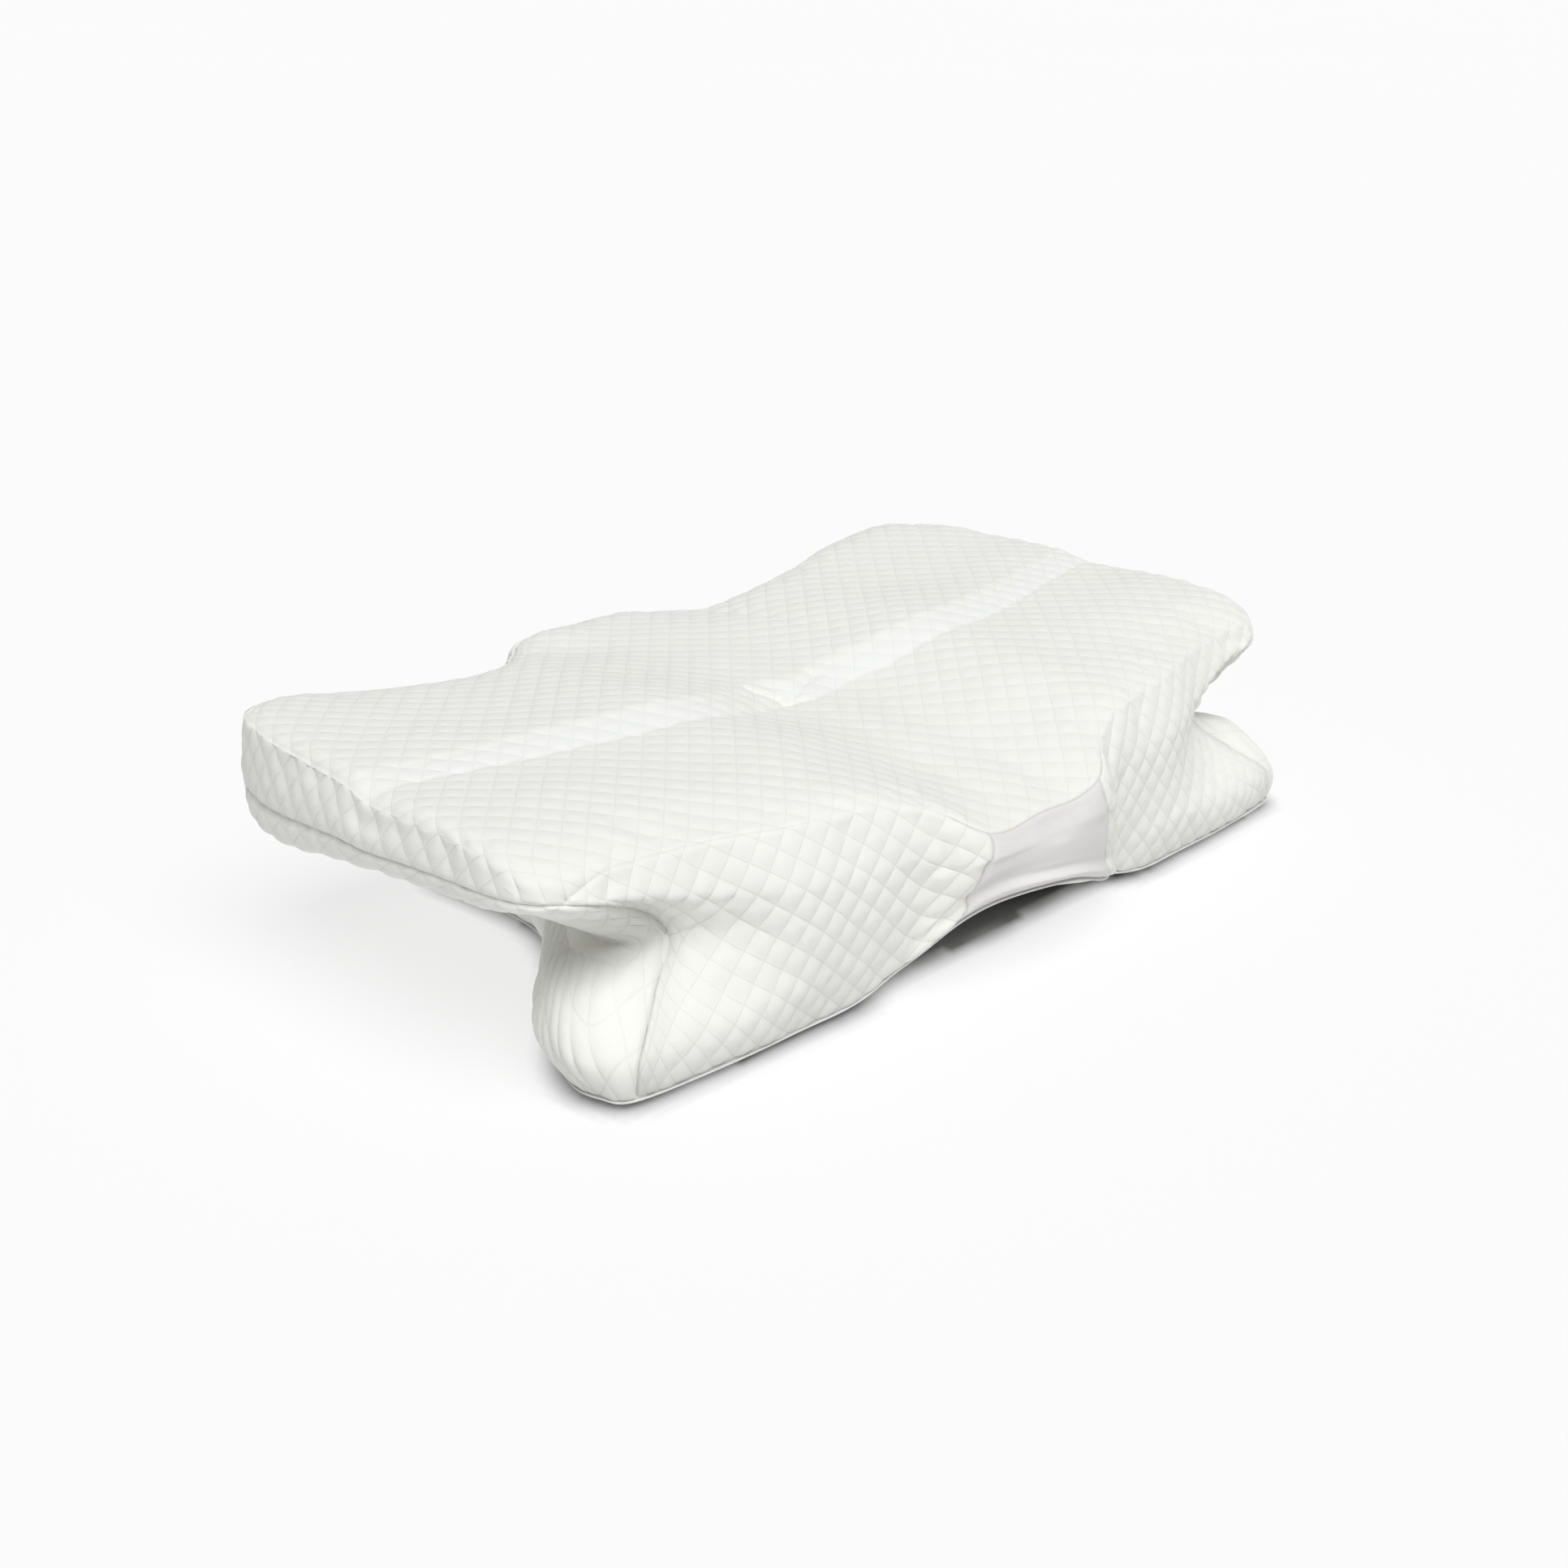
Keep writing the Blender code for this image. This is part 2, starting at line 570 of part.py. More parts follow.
def make_slider(collection, materials):
    """The slider: an outer and a rear plate joined by a post, with an arch that holds the pull tab."""
    rear_outer = -(TAPE_DEPTH + TAPE_THICKNESS + REAR_PLATE_GAP)
    rear_inner = rear_outer - REAR_PLATE_THICKNESS
    post_start, post_end = rear_outer - JOIN_OVERLAP, PLATE_INNER + JOIN_OVERLAP
    half_length = SLIDER_LENGTH / 2
    parts = [
        ((-half_length, PLATE_INNER, -SLIDER_HALF_HEIGHT), (half_length, PLATE_OUTER, SLIDER_HALF_HEIGHT)),
        ((-half_length, rear_inner, -SLIDER_HALF_HEIGHT), (half_length, rear_outer, SLIDER_HALF_HEIGHT)),
        ((-POST_HALF_LENGTH, post_start, -POST_HALF_HEIGHT), (POST_HALF_LENGTH, post_end, POST_HALF_HEIGHT)),
        ((-ARCH_FOOT_OUTER, ARCH_UNDERSIDE, -ARCH_HALF_WIDTH), (ARCH_FOOT_OUTER, ARCH_TOP, ARCH_HALF_WIDTH)),
    ]
    for sign in (-1, 1):
        feet_x = sorted((sign * ARCH_FOOT_INNER, sign * ARCH_FOOT_OUTER))
        low = (feet_x[0], PLATE_OUTER - JOIN_OVERLAP, -ARCH_HALF_WIDTH)
        high = (feet_x[1], ARCH_UNDERSIDE + JOIN_OVERLAP, ARCH_HALF_WIDTH)
        parts.append((low, high))
    slider = new_object("zip_slider", box_mesh(*parts[0]), materials["metal"], collection)
    slider.location = (SLIDER_REST_X, BACK_WALL_Y, ZIP_Z)
    joined = bpy.data.collections[CUTTER_COLLECTION_NAME]
    for index, (low, high) in enumerate(parts[1:]):
        piece = new_object("zip_slider_part_" + str(index), box_mesh(low, high), materials["metal"], joined)
        piece.location = slider.location
        piece.hide_render = True
        piece.display_type = "WIRE"
        modifier = slider.modifiers.new("join", "BOOLEAN")
        modifier.operation = "UNION"
        modifier.solver = "EXACT"
        modifier.object = piece
    window_half_height = ARCH_HALF_WIDTH + WINDOW_CLEARANCE
    outline = rounded_rectangle(-PIN_HALF_WIDTH, TAB_LENGTH, TAB_HALF_HEIGHT, TAB_CORNER)
    window = [
        (PIN_HALF_WIDTH, -window_half_height),
        (WINDOW_REACH, -window_half_height),
        (WINDOW_REACH, window_half_height),
        (PIN_HALF_WIDTH, window_half_height),
    ]
    tab = outline_piece("zip_pull_tab", outline, [window], TAB_HALF_THICKNESS, materials["metal"], collection)
    tab.location = (SLIDER_REST_X, BACK_WALL_Y + PIVOT_OFFSET, ZIP_Z)


def make_label(collection, material):
    """A blank care label sewn to the back wall above the zip."""
    low_z = ZIP_Z + ZIP_SLOT_HALF_HEIGHT + LABEL_ABOVE_ZIP
    low = (LABEL_X, BACK_WALL_Y + LAYER_GAP, low_z)
    high = (LABEL_X + LABEL_SIZE[0], BACK_WALL_Y + LAYER_GAP + LABEL_THICKNESS, low_z + LABEL_SIZE[1])
    box_piece("care_label", low, high, material, collection)


def make_binding(collection, material):
    """The narrow binding over the seam between the walls and the bottom panel."""
    rail = full_rail(BASE_EDGE) * CM
    curve = bpy.data.curves.new("base_seam_binding", "CURVE")
    curve.dimensions = "3D"
    curve.bevel_depth = BINDING_RADIUS
    curve.bevel_resolution = 1
    line = curve.splines.new("POLY")
    line.points.add(len(rail) - 1)
    tangent = np.roll(rail, -1, axis=0) - np.roll(rail, 1, axis=0)
    side = np.column_stack([tangent[:, 1], -tangent[:, 0], np.zeros(len(rail))])
    side /= np.linalg.norm(side, axis=1, keepdims=True)
    stand_off = BINDING_RADIUS + LAYER_GAP
    for point, place, across in zip(line.points, rail, side):
        point.co = (*(place + across * stand_off), 1.0)
    line.use_cyclic_u = True
    curve.materials.append(material)
    item = bpy.data.objects.new("base_seam_binding", curve)
    collection.objects.link(item)


def main():
    remove_everything()
    collection = new_collection(COLLECTION_NAME)
    cutters = new_collection(CUTTER_COLLECTION_NAME)
    materials = {
        "foam": new_material("memory_foam", (0.90, 0.86, 0.74), 0.95),
        "liner": new_material("liner_jersey", (0.88, 0.88, 0.87), 0.90),
        "quilt": new_material("quilted_knit", (0.86, 0.86, 0.83), 0.85),
        "plain": new_material("plain_knit", (0.76, 0.75, 0.74), 0.85),
        "base": new_material("base_knit", (0.80, 0.80, 0.78), 0.90),
        "binding": new_material("seam_binding", (0.85, 0.85, 0.84), 0.80),
        "tape": new_material("zip_tape", (0.86, 0.86, 0.84), 0.85),
        "coil": new_material("zip_coil", (0.85, 0.85, 0.84), 0.40),
        "metal": new_material("zip_metal", (0.80, 0.80, 0.80), 0.30, 1.0),
        "label": new_material("label_satin", (0.92, 0.92, 0.92), 0.45),
    }
    surface, panels = body_surface()
    offset_solid("foam_core", surface, CORE_DEPTH, materials["foam"], collection)
    bottom = panels.index("cover_bottom_panel")
    shell_piece(
        "liner_lower", surface, lambda panel: panel == bottom,
        LINER_DEPTH, LINER_THICKNESS, materials["liner"], collection,
    )
    shell_piece(
        "liner_upper", surface, lambda panel: panel != bottom,
        LINER_DEPTH, LINER_THICKNESS, materials["liner"], collection,
    )
    finish = {"cover_front_center_panel": "plain", "cover_bottom_panel": "base"}
    cover = {}
    for index, name in enumerate(panels):
        material = materials[finish.get(name, "quilt")]
        cover[name] = shell_piece(
            name, surface, lambda panel: panel == index,
            0.0, COVER_THICKNESS, material, collection,
        )
    surface.free()
    make_zip(collection, cutters, materials, cover["cover_back_panel"])
    make_label(collection, materials["label"])
    make_binding(collection, materials["binding"])


main()
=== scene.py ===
import math

import bmesh
import bpy
import numpy as np
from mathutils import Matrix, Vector
from mathutils.kdtree import KDTree


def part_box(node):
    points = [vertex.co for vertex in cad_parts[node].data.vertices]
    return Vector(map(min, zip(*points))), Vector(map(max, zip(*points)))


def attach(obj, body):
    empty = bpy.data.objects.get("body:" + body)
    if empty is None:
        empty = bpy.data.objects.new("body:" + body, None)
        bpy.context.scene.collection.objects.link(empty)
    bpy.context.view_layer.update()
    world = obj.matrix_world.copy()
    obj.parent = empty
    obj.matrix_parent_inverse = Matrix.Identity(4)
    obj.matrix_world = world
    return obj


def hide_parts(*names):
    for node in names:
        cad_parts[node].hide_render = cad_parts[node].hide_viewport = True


# Looks of the contoured neck pillow.  The rails are those of the CAD source, in centimetres and in its
# frame; the skin through them is built again here on a fine grid, softened by a cloth simulation, quilted,
# and cut into the cover's sewn panels.

CM = 0.01
MM = 0.001
SMALLEST = 1e-12

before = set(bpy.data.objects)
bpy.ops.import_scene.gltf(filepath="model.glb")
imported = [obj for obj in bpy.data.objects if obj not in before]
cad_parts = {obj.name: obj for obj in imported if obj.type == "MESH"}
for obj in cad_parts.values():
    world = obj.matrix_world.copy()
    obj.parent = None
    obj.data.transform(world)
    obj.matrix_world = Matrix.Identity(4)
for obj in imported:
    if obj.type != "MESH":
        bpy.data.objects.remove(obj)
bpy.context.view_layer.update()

# ---------------------------------------------------------------- layers and mesh density
COVER_THICKNESS = 4.0 * MM
PANEL_DEPTH = 3.2 * MM
LINER_THICKNESS = 0.8 * MM
LAYER_GAP = 0.4 * MM
LINER_DEPTH = COVER_THICKNESS + LAYER_GAP
CORE_DEPTH = LINER_DEPTH + LINER_THICKNESS + LAYER_GAP

COLUMNS_PER_STATION = 32
BLOCK = 4
TOP_ROWS = 96
BASE_ROWS = 24

# Rows of the wall from each anchor to the next: inner ring, crest, upper edge, border, groove, foot top,
# foot, low wall, base seam, contact line
WALL_ROWS = (8, 6, 18, 36, 8, 8, 8, 4, 4)

# ---------------------------------------------------------------- shape of the skin, in centimetres
EDGE_REACH = 1.3
EDGE_DROP = 0.9
CREST_REACH = 0.3
CREST_DROP = 0.25
SPINE_REACH = 27.0
BASE_SPINE_REACH = 13.5

# Long profiles of the top, (y, z): along the middle, along the lobes and along the ends
MIDDLE_PROFILE = [
    (-19.5, 8.8), (-13.2, 9.95), (-7.2, 10.9), (-2.3, 11.22), (-1.85, 11.32), (0.2, 11.96), (0.6, 12.04),
    (8.8, 12.2), (19.8, 12.0),
]
LOBE_PROFILE = [
    (-16.2, 11.5), (-10.2, 12.4), (-5.2, 12.8), (-2.45, 12.88), (-2.1, 12.95), (-0.2, 13.53),
    (0.2, 13.6), (6.8, 13.2), (15.3, 12.6),
]
END_PROFILE = [
    (-13.2, 11.9), (-9.2, 12.9), (-4.2, 13.25), (0.55, 13.12), (0.9, 13.18), (2.6, 13.52), (3.0, 13.57),
    (8.8, 13.7), (16.3, 13.6),
]

# The line (x, y) at the foot of the step between the top's halves, and where each profile has it
VALLEY = [
    (-33, 1.4), (-29.4, 0.4), (-24.5, -0.7), (-19.5, -1.5), (-14.4, -2.4), (-8.5, -2.9), (-5, -2.2),
    (-2.1, -1.4), (-0.3, -2.0), (3.5, -1.6), (6.5, -2.2), (14, -2.55), (19.5, -1.7), (25.5, -0.3), (33, 1.4),
]
PROFILE_VALLEYS = (-2.0, -2.2, 0.8)
VALLEY_REACH = 3.0
VALLEY_FADE = 6.0
BAND_WIDTH = 1.6

# Between which distances from the middle the lobes rise, at the front and at the back, and the ends begin
LOBE_START = (1.5, 5.0)
LOBE_FADE = (11.0, 7.0)
END_START = 15.0
END_FADE = 14.0

# The dip of the top at the corners of the rear tongue
TONGUE_CORNER = 6.3
TONGUE_WIDTH = 2.2
TONGUE_DIP = 0.3

# Where the soft pillow has settled or stands up on one side only: x, y, size and height
SETTLING = [
    (18, 15.5, 6.5, 0.8), (-5.5, 17.5, 3.0, 0.45), (6, 17, 3.0, -0.2), (-13, 14.5, 3.0, -0.15),
    (-29, 14, 4.0, 0.2), (31, 9, 5.0, -0.15), (31, -4, 5.0, -0.3), (27, 13.5, 4.0, 0.25),
    (-5, -19.4, 2.2, -0.4),
]

# The same round the wall, as station, width in stations and centimetres: the lip's height, the feet's shift
# along x, the wing seam's height, and the corners of the wing and of the rear tongue (x, y)
LIP_LIFT = [(-0.7, 0.6, 0.85), (-1.8, 0.8, 0.3), (1.0, 0.6, -0.75)]
FOOT_SHIFT = [(-7.6, 0.8, 0.15), (-1.0, 0.45, 0.15)]
SEAM_LIFT = [(-12.0, 1.6, -0.6)]
CORNER_SHIFTS = [(-18.0, 0.7, (-1.0, 0.6)), (7.0, 0.8, (0.25, -0.15))]

# How far the front of each foot stands forward, and the stations where that starts and ends
RIGHT_FOOT_OFFSET = -0.6
LEFT_FOOT_OFFSET = -0.15
FOOT_START = 2.0
FOOT_END = 7.5
FOOT_FADE = 1.5

# Shares of the way from the wing seam to the groove, and from the groove to the foot, where the wall bulges
UNDERSIDE_ACROSS = (0.62, 0.35)
UNDERSIDE_DOWN = (0.42, 0.28)
FOOT_TOP_ACROSS = (0.45, 0.65)
FOOT_TOP_DOWN = 0.52
KNEE_ACROSS = 0.13
KNEE_DOWN = 0.16
LIP_AT_GROOVE = 0.5
CONTACT_SHARE = 0.4

# Creases of the top near the middle, where the cover is pulled into the step: from x, y to x, y, and
# how deep and wide in millimetres
TOP_CREASES = [
    (-2.4, -1.5, 1.7, 0.1, 2.0, 3.2), (-3.6, 0.5, -2.4, -0.9, 1.7, 2.6), (-8.7, -2.6, -2.3, -1.4, 0.9, 3.0),
    (-1.9, -1.6, -0.4, -2.1, 1.0, 2.6),
]

UPPER_EDGE = [
    (0, -19.3), (5, -19.4), (8.2, -17.1), (12, -16.1), (16.5, -15.4), (21.5, -14.0), (26, -13.2),
    (29.8, -12.7), (31.7, -10.9), (31.9, -6.2), (31.7, -0.2), (31.0, 5.8), (30.3, 11.2), (28.7, 15.2),
    (26, 16.9), (21.5, 16.4), (16, 15.0), (11, 14.5), (7.6, 15.6), (5.7, 18.5), (0, 19.2),
]
WING_SEAM = [
    (0, -19.7, 7.4), (5.3, -19.6, 7.4), (8.5, -17.6, 8.0), (12.3, -16.8, 8.6), (16.8, -16.3, 8.8),
    (21.8, -14.6, 9.3), (26.2, -13.7, 10.0), (29.9, -12.9, 10.3), (31.8, -10.6, 10.2), (31.9, -5.7, 9.8),
    (31.7, -0.2, 9.4), (31.1, 5.8, 9.0), (30.3, 11.2, 8.5), (28.6, 15.3, 8.5), (26, 17.4, 8.8),
    (21.3, 17.0, 8.8), (15.8, 15.7, 8.6), (11, 15.5, 8.4), (7.5, 16.6, 8.4), (5.8, 19.0, 8.5),
    (0, 19.6, 8.5),
]
GROOVE = [
    (0, -19.8, 6.2), (5.9, -19.3, 5.8), (9.0, -17.5, 5.2), (12.6, -17.0, 5.5), (16.8, -16.6, 5.8),
    (20.8, -14.8, 6.9), (23.5, -13.0, 6.9), (25.0, -11.6, 6.5), (24.9, -8.2, 6.1), (22.8, -4.4, 6.4),
    (20.9, 0.2, 6.5), (19.6, 4.8, 6.5), (19, 9.3, 6.5), (18.3, 13.4, 6.4), (16.0, 15.2, 6.4),
    (13, 15.6, 6.4), (11, 15.6, 6.4), (9, 15.6, 6.4), (7, 15.6, 6.4), (5, 15.6, 6.4), (0, 15.6, 6.4),
]
FOOT = [
    (0, -19.8, 5.2), (6.5, -18.8, 4.4), (9.5, -17.2, 2.8), (12.8, -16.8, 2.6), (17, -16.6, 2.6),
    (22, -16.3, 2.6), (28.0, -15.6, 2.7), (30.2, -13.9, 2.7), (30.5, -11.4, 2.7), (28.3, -7.9, 2.7),
    (22.8, -2.9, 2.6), (19.3, 3.3, 3.0), (18.3, 9.3, 3.0), (17.8, 13.4, 3.0), (15.8, 15.2, 3.0),
    (13, 15.6, 3.0), (11, 15.6, 3.0), (9, 15.6, 3.0), (7, 15.6, 3.0), (5, 15.6, 3.0), (0, 15.6, 3.0),
]
BASE_EDGE = [
    (0, -19.6, 4.1), (7.0, -18.2, 2.8), (9.7, -16.7, 1.2), (12.8, -16.3, 0.5), (17, -16.1, 0.4),
    (22, -16.0, 0.4), (28.1, -15.4, 0.4), (29.4, -14.0, 0.4), (29.4, -12.0, 0.4), (27.2, -8.5, 0.4),
    (22.1, -3.1, 0.4), (18.2, 3.1, 0.4), (17.4, 9.3, 0.4), (17.2, 13.4, 0.4), (15.6, 15.2, 0.4),
    (13, 15.6, 0.4), (11, 15.6, 0.4), (9, 15.6, 0.4), (7, 15.6, 0.4), (5, 15.6, 0.4), (0, 15.6, 0.4),
]
CONTACT_EDGE = [
    (0, -10.7, 0), (6.3, -11.5, 0), (9.9, -13.4, 0), (12.8, -15.7, 0), (17, -15.5, 0), (22, -15.2, 0),
    (27.5, -14.8, 0), (28.7, -13.6, 0), (28.7, -11.9, 0), (26.7, -8.7, 0), (21.4, -3.4, 0), (17.5, 3.0, 0),
    (16.7, 9.2, 0), (16.5, 12.9, 0), (15.2, 14.6, 0), (12.8, 15.0, 0), (11, 15.0, 0), (9, 15.0, 0),
    (7, 15.0, 0), (5, 15.0, 0), (0, 15.0, 0),
]
LAST_STATION = len(UPPER_EDGE) - 1
COLUMNS = 2 * LAST_STATION * COLUMNS_PER_STATION

# Stations where the cover's upright seams stand
PANEL_CORNER = 1.0
FOOT_SEAM = 6.0
FRONT_TIP = 7.0
FAR_CORNER = 13.0
BACK_START = 14.0
ZIP_END = 14.5

# Where the side panel's upper seam starts to dive into the arm pit, and how steeply
DIVE_START = FRONT_TIP + 0.25
DIVE_CURVE = 2.2

# Places on a wall column, counted in rails from the inner ring of the top
TAU_CREST = 1.0
TAU_TIP_CREST = 2.25
TAU_SEAM = 3.0
TAU_WING_SEAM = 2.65
TAU_ARM_PIT = 4.9
TAU_GROOVE = 5.0
TAU_FOOT_TOP = 6.0
TAU_FOOT = 7.0
TAU_LOW_WALL = 7.67
TAU_ZIP_TOP = 6.83
TAU_ZIP_BOTTOM = 7.73
TAU_BASE = 8.0
TAU_CONTACT = 9.0
UPPER_EDGE_SHARE = 0.4


def smooth_step(t):
    t = np.clip(t, 0.0, 1.0)
    return t * t * (3.0 - 2.0 * t)


def bump(distance, width):
    """A bell that is 1 at zero distance and fades over the given width."""
    return np.exp(-(distance / width) ** 2)


def between(pair, share):
    """The value that share of the way from the first of a pair to the second."""
    return pair[0] + (pair[1] - pair[0]) * share


def ripples(points, wavelength, seed, count=9):
    """Smooth random waves of about one wavelength, from -1 to 1, read at points in metres."""
    waves = np.random.default_rng(seed)
    total = np.zeros(points.shape[:-1])
    for _ in range(count):
        direction = waves.normal(size=3)
        direction *= waves.uniform(0.7, 1.4) / (np.linalg.norm(direction) * wavelength)
        total += np.sin(2 * math.pi * (points @ direction) + waves.uniform(0, 2 * math.pi))
    return total / math.sqrt(2 * count)


# ---------------------------------------------------------------- curves and rows of the skin
def graph_height(points, at):
    """Height of a line of points at the given places: a cubic that never overshoots its points."""
    points = np.array(points, float)
    places, heights = points[:, 0], points[:, 1]
    steps = np.diff(places)
    slopes = np.diff(heights) / steps
    tangents = np.zeros(len(places))
    tangents[0] = slopes[0]
    tangents[-1] = slopes[-1]
    for i in range(1, len(places) - 1):
        if slopes[i - 1] * slopes[i] > 0:
            tangents[i] = 2.0 * slopes[i - 1] * slopes[i] / (slopes[i - 1] + slopes[i])
    at = np.clip(at, places[0], places[-1])
    i = np.clip(np.searchsorted(places, at) - 1, 0, len(steps) - 1)
    t = (at - places[i]) / steps[i]
    ends = heights[i] * (1 + 2 * t) * (1 - t) ** 2 + heights[i + 1] * t * t * (3 - 2 * t)
    return ends + steps[i] * (tangents[i] * t * (1 - t) ** 2 + tangents[i + 1] * t * t * (t - 1))


def top_height(x, y):
    """Height of the top: three long profiles, with the step between its halves kept on one line."""
    reach = np.abs(x)
    valley = graph_height(VALLEY, x)
    nearness = 1 - smooth_step((np.abs(y - valley) - VALLEY_REACH) / VALLEY_FADE)
    heights = [
        graph_height(profile, y - (valley - own_valley) * nearness)
        for profile, own_valley in zip((MIDDLE_PROFILE, LOBE_PROFILE, END_PROFILE), PROFILE_VALLEYS)
    ]
    at_back = smooth_step((y - 8.0) / 8.0)
    lobes = smooth_step((reach - between(LOBE_START, at_back)) / between(LOBE_FADE, at_back))
    ends = smooth_step((reach - END_START) / END_FADE)
    outer = heights[1] * (1 - ends) + heights[2] * ends
    tongue_corner = TONGUE_DIP * bump(reach - TONGUE_CORNER, TONGUE_WIDTH) * at_back
    settled = sum(height * bump(np.hypot(x - at_x, y - at_y), size) for at_x, at_y, size, height in SETTLING)
    return heights[0] * (1 - lobes) + outer * lobes - tongue_corner + settled


def catmull_rom(before, start, end, after, t):
    linear = (end - before) * t
    square = (2 * before - 5 * start + 4 * end - after) * t * t
    cube = (3 * start - before - 3 * end + after) * t ** 3
    return 0.5 * (2 * start + linear + square + cube)


def full_rail(half_rail):
    """The rail all the way round, from its right half, smoothed between the stations."""
    half = np.array(half_rail, float)
    left = half[1:-1][::-1].copy()
    left[:, 0] *= -1
    points = np.vstack([half, left])
    place = np.arange(COLUMNS) / COLUMNS_PER_STATION
    i = np.floor(place).astype(int)
    corners = [points[(i + k) % len(points)] for k in (-1, 0, 1, 2)]
    return catmull_rom(*corners, (place - i)[:, None])


def column_spline(points, place):
    """Curves down the wall: points (rails, columns, 3) read at place (rows, columns), counted in rails."""
    padded = np.concatenate([2 * points[:1] - points[1:2], points, 2 * points[-1:] - points[-2:-1]])
    i = np.clip(np.floor(place).astype(int), 0, len(points) - 2)
    column = np.arange(points.shape[1])[None, :]
    corners = [padded[i + k, column] for k in range(4)]
    return catmull_rom(*corners, (place - i)[..., None])


def signed_station():
    """Station of every column: 0 in the middle of the neck side, negative on the left half."""
    station = np.arange(COLUMNS) / COLUMNS_PER_STATION
    return np.where(station > LAST_STATION, station - 2 * LAST_STATION, station)


def spine_points(end_scale):
    """The line along the middle that the rings of the top and the base close onto."""
    station = signed_station()
    share = np.minimum(np.abs(station), LAST_STATION - np.abs(station)) / (LAST_STATION / 2)
    return np.column_stack([np.sign(station) * end_scale * share ** 0.8, np.zeros(COLUMNS)])


def border_place(station):
    """Where the side panel's upper seam runs on each column: along the wing, then down into the arm pit."""
    reach = np.abs(station)
    down = np.clip((DIVE_START - reach) / (DIVE_START - FOOT_SEAM), 0, 1) ** DIVE_CURVE
    back_up = smooth_step((FOOT_SEAM - reach) / 2.5)
    on_wing = smooth_step((reach - 3.5) / 2.5) * smooth_step((BACK_START - reach) / 1.5)
    level = between((TAU_SEAM, TAU_WING_SEAM), on_wing)
    return level + (TAU_ARM_PIT - TAU_WING_SEAM) * down * (1 - back_up)


def crest_place(station):
    """Where the top panel's seam runs: on the crest, but dipping to the wing seam at the front's tip."""
    reach = np.abs(station)
    dip = smooth_step((reach - 6.2) / 0.9) * (1 - smooth_step((reach - 7.4) / 1.2))
    return between((TAU_CREST, TAU_TIP_CREST), dip)


def wall_places():
    """Place of every wall row on every column, counted in rails, from the inner ring to the contact edge."""
    station = signed_station()
    crest, border = crest_place(station), border_place(station)
    at_back = smooth_step((np.abs(station) - FAR_CORNER) / (BACK_START - FAR_CORNER))
    zip_top = between((TAU_FOOT, TAU_ZIP_TOP), at_back)
    zip_bottom = between((TAU_LOW_WALL, TAU_ZIP_BOTTOM), at_back)
    upper_edge = between((crest, border), UPPER_EDGE_SHARE)
    anchors = [
        0.0, crest, upper_edge, border, TAU_GROOVE, TAU_FOOT_TOP, zip_top, zip_bottom,
        TAU_BASE, TAU_CONTACT,
    ]
    anchors = [np.broadcast_to(anchor, COLUMNS) for anchor in anchors]
    rows = []
    for count, start, end in zip(WALL_ROWS, anchors[:-1], anchors[1:]):
        rows += [start + (end - start) * k / count for k in range(count)]
    return np.array(rows + anchors[-1:])


def local_offset(station, places):
    """Sum of bells round the wall, each given as station, width in stations and height."""
    return sum(height * bump(station - middle, width) for middle, width, height in places)


def settled_front(station):
    """How far the lip, and the feet with the lip, have moved from the even shape: offsets in x, y and z."""
    lip = local_offset(station, LIP_LIFT)
    forward = sum(
        offset * smooth_step((side * station - FOOT_START) / FOOT_FADE)
        * smooth_step((FOOT_END - side * station) / FOOT_FADE)
        for side, offset in ((1, RIGHT_FOOT_OFFSET), (-1, LEFT_FOOT_OFFSET))
    )
    still = np.zeros(COLUMNS)
    return np.column_stack([still, still, lip]), np.column_stack([
        local_offset(station, FOOT_SHIFT), forward, lip,
    ])


def rail_between(upper, lower, across, down):
    """A rail between two others, with its own shares of the way in the plan and in height."""
    rail = upper + (lower - upper) * np.broadcast_to(across, COLUMNS)[:, None]
    rail[:, 2] = upper[:, 2] + (lower[:, 2] - upper[:, 2]) * down
    return rail


